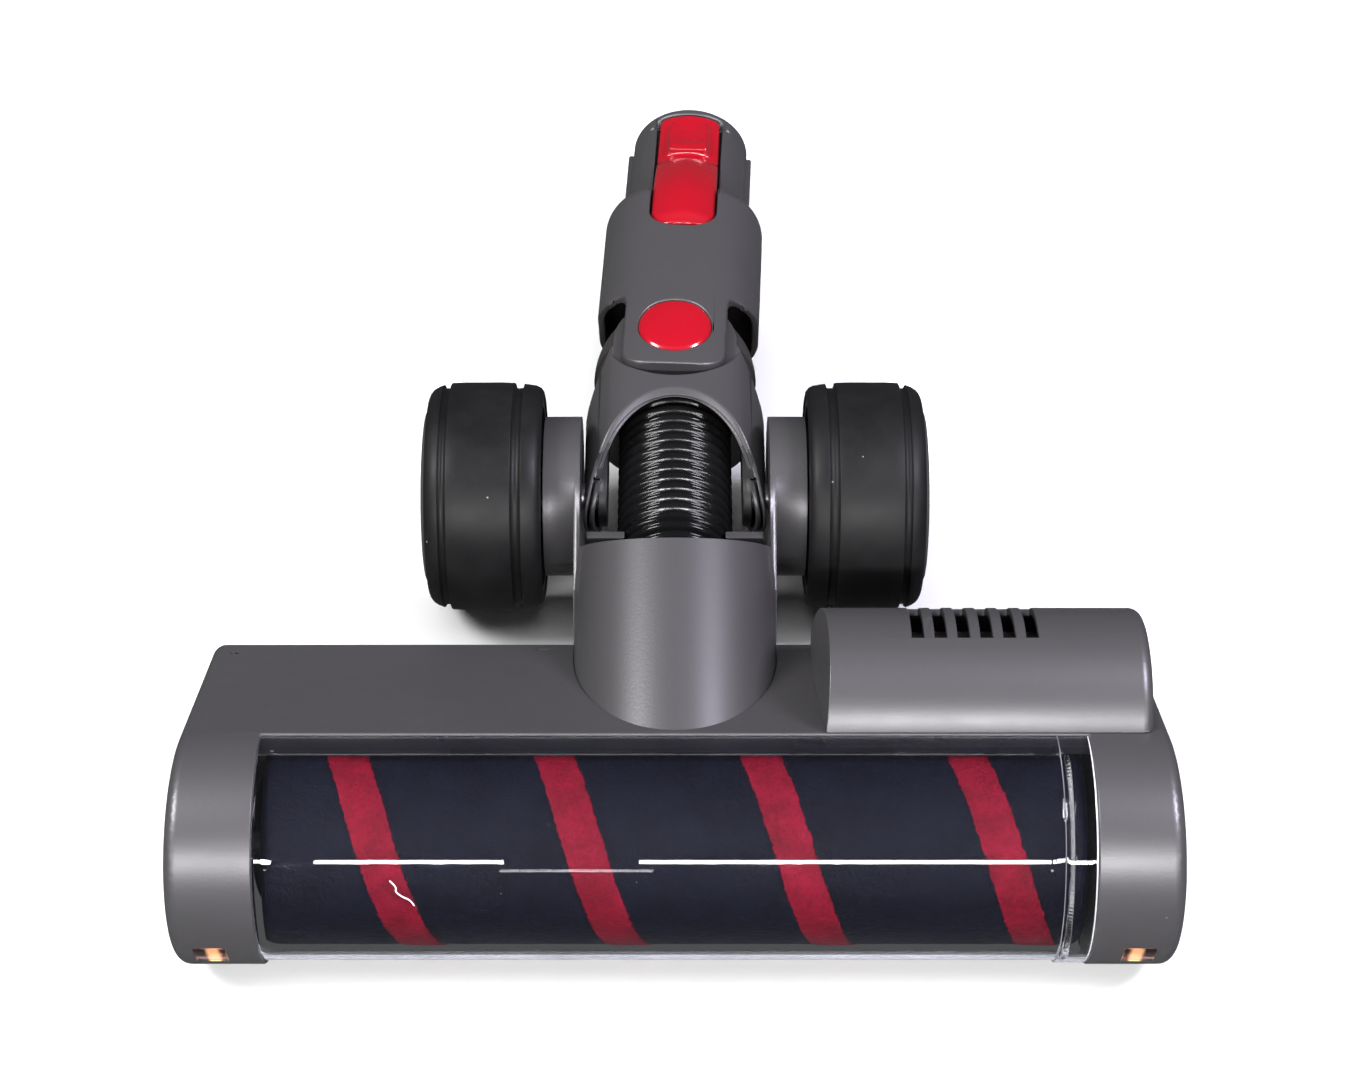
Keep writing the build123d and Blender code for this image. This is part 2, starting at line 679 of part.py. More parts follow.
# Sole plate with motor cradles and board ribs
with BuildPart() as sole_plate:
    plate_front = ROLLER_Y - sqrt(BODY_R**2 - (ROLLER_Z - SOLE_Z) ** 2)
    with BuildSketch(Plane.XY.offset(SOLE_Z)):
        Polygon(
            (-half_width(plate_front) + WALL, plate_front),
            (half_width(plate_front) - WALL, plate_front),
            (half_width(REAR_Y) - SOLE_INSET, REAR_Y - SOLE_INSET),
            (-half_width(REAR_Y) + SOLE_INSET, REAR_Y - SOLE_INSET),
            align=None,
        )
        opening_rear = ROLLER_Y + sqrt(BODY_R**2 - (ROLLER_Z - SOLE_TOP) ** 2) - WALL
        with Locations((0, opening_rear - FAR / 2)):
            Rectangle(CHAMBER_L, FAR, mode=Mode.SUBTRACT)
    extrude(amount=SOLE_T)
    fillet(sole_plate.edges().filter_by(Axis.Z).group_by(Axis.Y)[0], SOLE_CORNER)
    for cradle_x in (MOTOR_X0 + CRADLE_INSET, MOTOR_X0 + MOTOR_L - CRADLE_INSET - CRADLE_T):
        with BuildSketch(side_plane(cradle_x)):
            with Locations((MOTOR_AXIS[0], SOLE_TOP + CRADLE_H / 2)):
                Rectangle(CRADLE_W, CRADLE_H)
            with Locations(MOTOR_AXIS):
                Circle(MOTOR_R + SEAT_GAP, mode=Mode.SUBTRACT)
            with Locations(ROLLER_AXIS):
                Circle(BODY_R + SEAT_GAP, mode=Mode.SUBTRACT)
        extrude(amount=CRADLE_T)
    pcb_x = -CHAMBER_HALF + PCB_L / 2 + PCB_INSET_X
    pcb_y = REAR_Y - WALL - PCB_W / 2 - PCB_INSET_Y
    with BuildSketch(Plane.XY.offset(SOLE_TOP)):
        with Locations((pcb_x - PCB_L / 2 + RIB_T, pcb_y), (pcb_x + PCB_L / 2 - RIB_T, pcb_y)):
            Rectangle(RIB_T, PCB_W)
    extrude(amount=PCB_LIFT)
    with BuildSketch(Plane.XY.offset(SOLE_Z)):
        with Locations(*SCREWS):
            Circle(SCREW_HEAD_R + SEAT_GAP)
    extrude(amount=SCREW_HEAD_T, mode=Mode.SUBTRACT)
    with BuildSketch(Plane.XY.offset(SOLE_Z)):
        with Locations(*SCREWS):
            Circle(SCREW_R + SEAT_GAP)
    extrude(amount=SOLE_T, mode=Mode.SUBTRACT)
save(sole_plate, "sole_plate")

# Sole screws
with BuildPart() as sole_screws:
    with BuildSketch(Plane.XY.offset(SOLE_Z)):
        with Locations(*SCREWS):
            Circle(SCREW_HEAD_R)
    extrude(amount=SCREW_HEAD_T)
    with BuildSketch(Plane.XY.offset(SOLE_Z)):
        with Locations(*SCREWS):
            Circle(SCREW_R)
    extrude(amount=SOLE_T + SCREW_L - SCREW_SPARE)
save(sole_screws, "sole_screws")

# Felt strip behind the roller
with BuildPart() as felt_strip:
    with BuildSketch(Plane.XY.offset(SOLE_Z)):
        with Locations((0, opening_rear + FELT_W / 2 + FELT_INSET)):
            RectangleRounded(CHAMBER_L, FELT_W, FELT_CORNER)
    extrude(amount=-FELT_T)
save(felt_strip, "felt_strip")

# Drive motor
with BuildPart() as drive_motor:
    with BuildSketch(side_plane(MOTOR_X0)):
        with Locations(MOTOR_AXIS):
            Circle(MOTOR_R)
    extrude(amount=MOTOR_L)
    with BuildSketch(side_plane(MOTOR_X0 - MOTOR_NOSE_L)):
        with Locations(MOTOR_AXIS):
            Circle(MOTOR_NOSE_R)
    extrude(amount=MOTOR_L + 2 * MOTOR_NOSE_L)
    motor_end = MOTOR_X0 + MOTOR_L + MOTOR_NOSE_L
    with BuildSketch(side_plane(motor_end)):
        with Locations(MOTOR_AXIS):
            Circle(SHAFT_R + RUN_GAP)
    extrude(amount=-SHAFT_HOLD - SHAFT_PROUD, mode=Mode.SUBTRACT)
save(drive_motor, "drive_motor")

# Motor shaft and pulley
with BuildPart() as motor_shaft:
    with BuildSketch(side_plane(motor_end - SHAFT_HOLD)):
        with Locations(MOTOR_AXIS):
            Circle(SHAFT_R)
    extrude(amount=PULLEY_X + PULLEY_L + SHAFT_PROUD - motor_end + SHAFT_HOLD)
save(motor_shaft, "motor_shaft")

# Flanged pulleys of the motor and the roller
for name, radius, bore, axis in (
    ("motor_pulley", MOTOR_PULLEY_R, SHAFT_R + RUN_GAP / 2, MOTOR_AXIS),
    ("roller_pulley", ROLLER_PULLEY_R, STUB_R + RUN_GAP / 2, ROLLER_AXIS),
):
    with BuildPart() as pulley:
        flange = (PULLEY_L - BELT_L - BELT_GAP) / 2
        with BuildSketch(side_plane(PULLEY_X)):
            with Locations(axis):
                Circle(radius)
        extrude(amount=PULLEY_L)
        with BuildSketch(side_plane(PULLEY_X), side_plane(PULLEY_X + PULLEY_L - flange)):
            with Locations(axis):
                Circle(radius + BELT_T)
        extrude(amount=flange)
        with BuildSketch(side_plane(PULLEY_X)):
            with Locations(axis):
                Circle(bore)
        extrude(amount=PULLEY_L, mode=Mode.SUBTRACT)
    save(pulley, name)

# Drive belt round both pulleys
with BuildPart() as drive_belt:
    with BuildSketch(side_plane(PULLEY_X + (PULLEY_L - BELT_L) / 2)):
        with BuildLine():
            CenterArc(ROLLER_AXIS, ROLLER_PULLEY_R + BELT_GAP + BELT_T, 0, 360)
            CenterArc(MOTOR_AXIS, MOTOR_PULLEY_R + BELT_GAP + BELT_T, 0, 360)
        make_hull()
    extrude(amount=BELT_L)
    with BuildSketch(side_plane(PULLEY_X)):
        with BuildLine():
            CenterArc(ROLLER_AXIS, ROLLER_PULLEY_R + BELT_GAP, 0, 360)
            CenterArc(MOTOR_AXIS, MOTOR_PULLEY_R + BELT_GAP, 0, 360)
        make_hull()
    extrude(amount=PULLEY_L, mode=Mode.SUBTRACT)
save(drive_belt, "drive_belt")

# Roller tube, plush sleeve and stripe
with BuildPart() as roller_core:
    with BuildSketch(side_plane(-PILE_L / 2)):
        with Locations(ROLLER_AXIS):
            Circle(CORE_R)
            Circle(CORE_R - CORE_WALL, mode=Mode.SUBTRACT)
    extrude(amount=PILE_L)
save(roller_core, "roller_core")

with BuildPart() as roller_pile:
    with BuildSketch(side_plane(-PILE_L / 2)):
        with Locations(ROLLER_AXIS):
            Circle(PILE_R)
            Circle(CORE_R + RUN_GAP / 2, mode=Mode.SUBTRACT)
    extrude(amount=PILE_L)
save(roller_pile, "roller_pile")

with BuildPart() as roller_stripe:
    stripe_r = PILE_R + STRIPE_T / 2 + RUN_GAP / 2
    stripe_turns = int((PILE_L - STRIPE_W) / STRIPE_LEAD * 4) / 4
    stripe_l = stripe_turns * STRIPE_LEAD
    with BuildLine() as stripe_path:
        Helix(STRIPE_LEAD, stripe_l, stripe_r, center=(0, ROLLER_Y, ROLLER_Z), direction=(1, 0, 0))
    stripe_start = stripe_path.line @ 0
    outward = stripe_start - Vector(stripe_start.X, ROLLER_Y, ROLLER_Z)
    with BuildSketch(Plane(origin=stripe_start, x_dir=outward, z_dir=stripe_path.line % 0)):
        Rectangle(STRIPE_T - RUN_GAP, STRIPE_W)
    sweep(is_frenet=True)
    # Turn and shift it so that it crosses the window's rear edge at STRIPE_X
    start_angle = degrees(atan2(outward.Z, outward.Y))
    stripe_from = STRIPE_X - (STRIPE_ANGLE - STRIPE_START) / 360 * STRIPE_LEAD
roller_axis = Axis((0, ROLLER_Y, ROLLER_Z), (1, 0, 0))
roller_stripe.part = roller_stripe.part.rotate(roller_axis, STRIPE_START - start_angle)
roller_stripe.part = roller_stripe.part.moved(Location((stripe_from, 0, 0)))
save(roller_stripe, "roller_stripe")

# Roller end plugs with their stubs, and the bushes
for side, sign in SIDES:
    stub_to = PULLEY_X + PULLEY_L + SHAFT_PROUD if sign > 0 else BLOCK_IN + STUB_PROUD
    with BuildPart() as roller_end:
        with BuildSketch(side_plane(sign * (PILE_L / 2 - PLUG_L))):
            with Locations(ROLLER_AXIS):
                Circle(CORE_R - CORE_WALL - RUN_GAP / 2)
        extrude(amount=sign * PLUG_L)
        with BuildSketch(side_plane(sign * (PILE_L / 2))):
            with Locations(ROLLER_AXIS):
                Circle(STUB_R)
        extrude(amount=sign * (stub_to - PILE_L / 2))
    save(roller_end, f"roller_end_{side}")
    with BuildPart() as roller_bearing:
        with BuildSketch(side_plane(sign * CHAMBER_HALF)):
            with Locations(ROLLER_AXIS):
                Circle(BEARING_R)
                Circle(STUB_R + RUN_GAP, mode=Mode.SUBTRACT)
        extrude(amount=sign * BLOCK_WALL)
    save(roller_bearing, f"roller_bearing_{side}")

# Front lights: lens in each end, board behind it, chips on the boards
lens_mid = (LENS_Z0 + LENS_Z1) / 2
for side, sign in SIDES:
    with BuildPart() as led_lens:
        with BuildSketch(side_plane(sign * LENS_X)):
            with Locations(ROLLER_AXIS):
                Circle(BODY_R)
                Circle(CHAMBER_R, mode=Mode.SUBTRACT)
        extrude(amount=LENS_W / 2 - SEAT_GAP, both=True)
        with BuildSketch(Plane.XZ.offset(-ROLLER_Y)):
            with Locations((sign * LENS_X, lens_mid)):
                Rectangle(LENS_W, LENS_Z1 - LENS_Z0 - 2 * SEAT_GAP)
        extrude(amount=2 * BODY_R, mode=Mode.INTERSECT)
    save(led_lens, f"led_lens_{side}")
    with BuildPart() as led_board:
        board_out = BLOCK_IN + BLOCK_CAVITY - SEAT_GAP
        board_w = board_out - (LENS_X - LENS_W / 2)
        with BuildSketch(Plane.XZ.offset(-ROLLER_Y + BOARD_BACK)):
            with Locations((sign * (board_out - board_w / 2), lens_mid)):
                Rectangle(board_w, LENS_Z1 - LENS_Z0)
        extrude(amount=BOARD_T)
    save(led_board, f"led_board_{side}")

with BuildPart() as led_chips:
    with BuildSketch(Plane.XZ.offset(-ROLLER_Y + BOARD_BACK + BOARD_T)):
        with Locations((-LENS_X, lens_mid), (LENS_X, lens_mid)):
            Rectangle(CHIP_W, CHIP_H)
    extrude(amount=CHIP_T)
save(led_chips, "led_chips")

# Control board on the sole plate's ribs
with BuildPart() as control_board:
    with BuildSketch(Plane.XY.offset(SOLE_TOP + PCB_LIFT)):
        with Locations((pcb_x, pcb_y)):
            Rectangle(PCB_L, PCB_W)
    extrude(amount=PCB_T)
    with BuildSketch(Plane.XY.offset(SOLE_TOP + PCB_LIFT + PCB_T)):
        with Locations((pcb_x - PCB_L / 4, pcb_y)):
            Rectangle(PCB_W / 2, PCB_W / 2)
        with Locations((pcb_x + PCB_L / 4, pcb_y)):
            Circle(PCB_W / 6)
    extrude(amount=PCB_W / 4)
save(control_board, "control_board")

# Axle pins, wheels and their caps
for side, sign in SIDES:
    wheel_x1 = WHEEL_X0 + TYRE_L
    rim_r = WHEEL_R - TYRE_T
    cap_r = rim_r - RIM_WALL
    with BuildPart() as axle_pin:
        with BuildSketch(side_plane(sign * AXLE_IN)):
            with Locations(WHEEL_AXIS):
                Circle(AXLE_R)
        extrude(amount=sign * (wheel_x1 - HUB_CAP_T - AXLE_SPARE - AXLE_IN))
    save(axle_pin, f"axle_pin_{side}")

    with BuildPart() as wheel_rim:
        with BuildSketch(side_plane(sign * (WHEEL_X0 + RIM_INSET))):
            with Locations(WHEEL_AXIS):
                Circle(rim_r)
        extrude(amount=sign * (TYRE_L - 2 * RIM_INSET))
        web_at = WHEEL_X0 + TYRE_L / 2
        hollow_l = (TYRE_L - RIM_WEB) / 2
        for hollow_from in (WHEEL_X0, web_at + RIM_WEB / 2):
            with BuildSketch(side_plane(sign * hollow_from)):
                with Locations(WHEEL_AXIS):
                    Circle(cap_r)
                    Circle(WHEEL_HUB_R, mode=Mode.SUBTRACT)
            extrude(amount=sign * hollow_l, mode=Mode.SUBTRACT)
        with BuildSketch(side_plane(sign * (wheel_x1 - HUB_CAP_T))):
            with Locations(WHEEL_AXIS):
                Circle(cap_r)
        extrude(amount=sign * 2 * HUB_CAP_T, mode=Mode.SUBTRACT)
        with BuildSketch(side_plane(sign * WHEEL_X0)):
            with Locations(WHEEL_AXIS):
                Circle(AXLE_R + RUN_GAP)
        extrude(amount=sign * TYRE_L, mode=Mode.SUBTRACT)
    save(wheel_rim, f"wheel_rim_{side}")

    with BuildPart() as tyre:
        groove_in = WHEEL_X0 + INNER_BAND
        groove_out = wheel_x1 - OUTER_BAND - OUTER_GROOVE
        edge_r = WHEEL_R - TYRE_CROWN
        groove_r = WHEEL_R - GROOVE_DEPTH - TYRE_CROWN / 2
        section = [
            (WHEEL_X0, rim_r + RUN_GAP / 2),
            (WHEEL_X0, edge_r - TYRE_EDGE),
            (WHEEL_X0 + TYRE_EDGE / 3, edge_r - TYRE_EDGE / 3),
            (WHEEL_X0 + TYRE_EDGE, edge_r),
            (groove_in, WHEEL_R - TYRE_CROWN / 3),
            (groove_in, groove_r),
            (groove_in + INNER_GROOVE, groove_r),
            (groove_in + INNER_GROOVE, WHEEL_R),
            (groove_out, WHEEL_R),
            (groove_out, groove_r),
            (groove_out + OUTER_GROOVE, groove_r),
            (groove_out + OUTER_GROOVE, WHEEL_R - TYRE_CROWN / 3),
            (wheel_x1 - TYRE_EDGE, edge_r),
            (wheel_x1 - TYRE_EDGE / 3, edge_r - TYRE_EDGE / 3),
            (wheel_x1, edge_r - TYRE_EDGE),
            (wheel_x1, rim_r + RUN_GAP / 2),
        ]
        with BuildSketch(Plane(origin=PIVOT, x_dir=(1, 0, 0), z_dir=(0, -1, 0))):
            Polygon(*[(sign * x, radius) for x, radius in section], align=None)
        revolve(axis=Axis(PIVOT, (1, 0, 0)))
    save(tyre, f"tyre_{side}")

    with BuildPart() as hub_cap:
        with BuildSketch(side_plane(sign * (wheel_x1 - HUB_CAP_T + SEAT_GAP))):
            with Locations(WHEEL_AXIS):
                Circle(cap_r - SEAT_GAP)
        extrude(amount=sign * (HUB_CAP_T + HUB_CAP_PROUD))
        outer_face = hub_cap.faces().sort_by(Axis.X)[-1 if sign > 0 else 0]
        chamfer(outer_face.edges(), HUB_CAP_EDGE, 2 * HUB_CAP_PROUD)
    save(hub_cap, f"hub_cap_{side}")

# Rebate that thins the yoke's arch to a lip above its legs
with BuildPart() as arch_rebate:
    with BuildSketch(NECK_SECTION.offset(-2 * LEG_R)):
        Circle(YOKE_R - YOKE_LIP)
        Circle(YOKE_R - YOKE_WALL - SPARE, mode=Mode.SUBTRACT)
    extrude(amount=YOKE_NECK + 2 * LEG_R)
    with BuildSketch(NECK_SIDE):
        with BuildLine():
            CenterArc((YOKE_LIP_L, 0), LEG_R, 0, 360)
            arch_top = (ARCH_TOP + YOKE_LIP_L, YOKE_R + SPARE)
            Polyline(arch_top, (YOKE_NECK + SPARE, YOKE_R + SPARE), (YOKE_NECK + SPARE, -LEG_R))
        make_hull()
    extrude(amount=2 * YOKE_R, both=True, mode=Mode.SUBTRACT)
    with BuildSketch(NECK_PLAN.offset(LEG_R)):
        Rectangle(4 * YOKE_R, 4 * YOKE_NECK)
    extrude(amount=YOKE_R, mode=Mode.INTERSECT)

# Yoke: arched shell with two legs, pad and bulkhead
with BuildPart() as yoke:
    with BuildSketch(NECK_SECTION.offset(-2 * LEG_R)):
        Circle(YOKE_R)
        Circle(YOKE_R - YOKE_WALL, mode=Mode.SUBTRACT)
    extrude(amount=YOKE_NECK + 2 * LEG_R)
    with BuildSketch(NECK_SIDE):
        with BuildLine():
            CenterArc((0, 0), LEG_R, 0, 360)
            Polyline((ARCH_TOP, YOKE_R + SPARE), (YOKE_NECK, YOKE_R + SPARE), (YOKE_NECK, -LEG_R))
        make_hull()
    extrude(amount=2 * YOKE_R, both=True, mode=Mode.INTERSECT)
    with BuildSketch(NECK_PLAN):
        Polygon(
            (-YOKE_R, -2 * LEG_R),
            (YOKE_R, -2 * LEG_R),
            (YOKE_R, YOKE_SHOULDER),
            (YOKE_NECK_HALF, YOKE_NECK),
            (-YOKE_NECK_HALF, YOKE_NECK),
            (-YOKE_R, YOKE_SHOULDER),
            align=None,
        )
    extrude(amount=2 * YOKE_R, both=True, mode=Mode.INTERSECT)
    add(arch_rebate.part, mode=Mode.SUBTRACT)
    with BuildSketch(NECK_SECTION.offset(BULKHEAD_AT)):
        Circle(YOKE_R - YOKE_WALL / 2)
        Circle(HOSE_R + MOVE_GAP, mode=Mode.SUBTRACT)
    extrude(amount=BULKHEAD_T)
    # Recess for the tongue, swept by its swing
    corner_along = SWIVEL_AT - TONGUE_TIP - TONGUE_CORNER
    tongue_reach = hypot(corner_along, TONGUE_HALF - TONGUE_CORNER) + TONGUE_CORNER
    with BuildSketch(NECK_PLAN.offset(PAD_H)):
        with Locations((0, SWIVEL_AT)):
            Circle(tongue_reach + MOVE_GAP)
    extrude(amount=YOKE_R, mode=Mode.SUBTRACT)
    with BuildSketch(NECK_PLAN.offset(PAD_H - PAD_T)):
        with Locations((0, (BULKHEAD_AT + SWIVEL_AT) / 2)):
            Rectangle(2 * PAD_HALF, SWIVEL_AT - BULKHEAD_AT)
        with Locations((0, SWIVEL_AT)):
            Circle(PAD_HALF)
    extrude(amount=PAD_T)
    with BuildSketch(NECK_SECTION.offset(BULKHEAD_AT)):
        Circle(HOSE_R + MOVE_GAP)
    extrude(amount=BULKHEAD_T, mode=Mode.SUBTRACT)
    with BuildSketch(NECK_PLAN):
        with Locations((0, SWIVEL_AT)):
            Circle(PIN_R + RUN_GAP / 2)
    extrude(amount=YOKE_R, mode=Mode.SUBTRACT)
    with BuildSketch(NECK_SIDE):
        Circle(AXLE_R + RUN_GAP)
    extrude(amount=2 * YOKE_R, both=True, mode=Mode.SUBTRACT)
    # Inner legs beside the hose
    for _, sign in SIDES:
        with BuildSketch(side_plane(sign * INNER_LEG_X0)):
            with BuildLine():
                CenterArc(WHEEL_AXIS, INNER_LEG_R, 0, 360)
                leg_top = PIVOT + NECK_DIR * (BULKHEAD_AT + SPARE) + NECK_UP * INNER_LEG_TOP
                leg_low = PIVOT + NECK_DIR * (BULKHEAD_AT + SPARE) - NECK_UP * INNER_LEG_R
                Line((leg_top.Y, leg_top.Z), (leg_low.Y, leg_low.Z))
            make_hull()
            with Locations(WHEEL_AXIS):
                Circle(AXLE_R + RUN_GAP, mode=Mode.SUBTRACT)
        extrude(amount=sign * (INNER_LEG_X1 - INNER_LEG_X0))
    # Parting groove in the ends of the legs
    with BuildSketch(NECK_SECTION.offset(-2 * LEG_R)):
        Circle(YOKE_R - LEG_SLOT_INSET)
        Circle(YOKE_R - LEG_SLOT_INSET - LEG_SLOT, mode=Mode.SUBTRACT)
    extrude(amount=LEG_R + LEG_SLOT_DEPTH, mode=Mode.SUBTRACT)
save(yoke, "yoke")

# Swivel ball with the air passage
with BuildPart() as swivel_ball:
    with Locations(PIVOT + NECK_DIR * SWIVEL_AT):
        Sphere(BALL_R)
    with BuildSketch(NECK_PLAN.offset(BALL_BOTTOM)):
        with Locations((0, SWIVEL_AT)):
            Rectangle(4 * BALL_R, 4 * BALL_R)
    extrude(amount=BALL_TOP - BALL_BOTTOM, mode=Mode.INTERSECT)
    with BuildSketch(NECK_SECTION):
        Circle(2 * BALL_R)
    extrude(amount=BULKHEAD_AT + BULKHEAD_T + SEAT_GAP, mode=Mode.SUBTRACT)
    with BuildSketch(NECK_SECTION):
        Circle(2 * BALL_R)
        Circle(YOKE_R - YOKE_WALL - SEAT_GAP, mode=Mode.SUBTRACT)
    extrude(amount=YOKE_NECK + SEAT_GAP, mode=Mode.SUBTRACT)
    with BuildSketch(NECK_SECTION):
        Circle(HOSE_BORE)
    extrude(amount=2 * SWIVEL_AT, mode=Mode.SUBTRACT)
    with BuildSketch(NECK_PLAN):
        with Locations((0, SWIVEL_AT)):
            Circle(PIN_R + RUN_GAP / 2)
    extrude(amount=-BALL_R, mode=Mode.SUBTRACT)
save(swivel_ball, "swivel_ball")

# Swivel pins: one in the pad, one in the underside of the ball
with BuildPart() as swivel_pins:
    with BuildSketch(NECK_PLAN.offset(PAD_H - PAD_T)):
        with Locations((0, SWIVEL_AT)):
            Circle(PIN_R)
    extrude(amount=TUBE_HALF - CAP_DEPTH - SEAT_GAP - PAD_H + PAD_T)
    with BuildSketch(NECK_PLAN.offset(-HOSE_BORE - SPARE)):
        with Locations((0, SWIVEL_AT)):
            Circle(PIN_R)
    extrude(amount=-(TUBE_HALF - TUBE_WALL - HOSE_BORE))
save(swivel_pins, "swivel_pins")

# Hose: bellows with rounded crests between its cuffs
with BuildPart() as hose:
    crest_count = int((HOSE_TO - HOSE_FROM) / HOSE_PITCH)
    lead_in = (HOSE_TO - HOSE_FROM - crest_count * HOSE_PITCH) / 2
    outline = [(HOSE_FROM + SEAT_GAP, HOSE_BORE)]
    outline.append((HOSE_FROM + SEAT_GAP, HOSE_VALLEY))
    slope = (HOSE_PITCH - 2 * HOSE_CREST) / 2
    for index in range(crest_count):
        start = HOSE_FROM + lead_in + index * HOSE_PITCH
        outline.append((start + HOSE_CREST / 2, HOSE_VALLEY))
        outline.append((start + HOSE_CREST / 2 + slope * HOSE_RISE, HOSE_R - HOSE_ROUND))
        outline.append((start + HOSE_PITCH / 2, HOSE_R))
        outline.append((start + HOSE_PITCH - HOSE_CREST / 2 - slope * HOSE_RISE, HOSE_R - HOSE_ROUND))
        outline.append((start + HOSE_PITCH - HOSE_CREST / 2, HOSE_VALLEY))
    outline.append((HOSE_TO - SEAT_GAP, HOSE_VALLEY))
    outline.append((HOSE_TO - SEAT_GAP, HOSE_BORE))
    with BuildSketch(NECK_SIDE):
        Polygon(*outline, align=None)
    revolve(axis=Axis(PIVOT, NECK_DIR))
save(hose, "hose")

# Cuff that holds the hose in the yoke's bulkhead
with BuildPart() as hose_cuff:
    with BuildSketch(NECK_SECTION.offset(HOSE_TO)):
        Circle(HOSE_R + MOVE_GAP - SEAT_GAP)
        Circle(HOSE_BORE, mode=Mode.SUBTRACT)
    extrude(amount=BULKHEAD_T)
save(hose_cuff, "hose_cuff")


def tube_section(grow):
    """Section of the swivel tube, grown outwards by grow."""
    size = 2 * (TUBE_HALF + grow)
    RectangleRounded(size, size, TUBE_CORNER + grow)


# Tongues above and below the swivel, with the tube's own outline
with BuildPart() as tongues:
    tongue_root = TUBE_FROM + 2 * RELIEF_R
    with BuildSketch(NECK_PLAN.offset(TONGUE_UNDER)):
        with Locations((0, (TONGUE_TIP + tongue_root) / 2)):
            RectangleRounded(2 * TONGUE_HALF, tongue_root - TONGUE_TIP, TONGUE_CORNER)
        with Locations((0, tongue_root - TONGUE_CORNER)):
            Rectangle(2 * TONGUE_HALF, 2 * TONGUE_CORNER)
    extrude(amount=TUBE_HALF)
    with BuildSketch(NECK_PLAN.offset(-TONGUE_UNDER)):
        with Locations((0, (SWIVEL_AT + tongue_root) / 2)):
            Rectangle(2 * LOWER_TONGUE_HALF, tongue_root - SWIVEL_AT)
        with Locations((0, SWIVEL_AT)):
            Circle(LOWER_TONGUE_HALF)
    extrude(amount=-TUBE_HALF)
    with BuildSketch(NECK_SECTION):
        tube_section(0)
    extrude(amount=FAR, mode=Mode.INTERSECT)

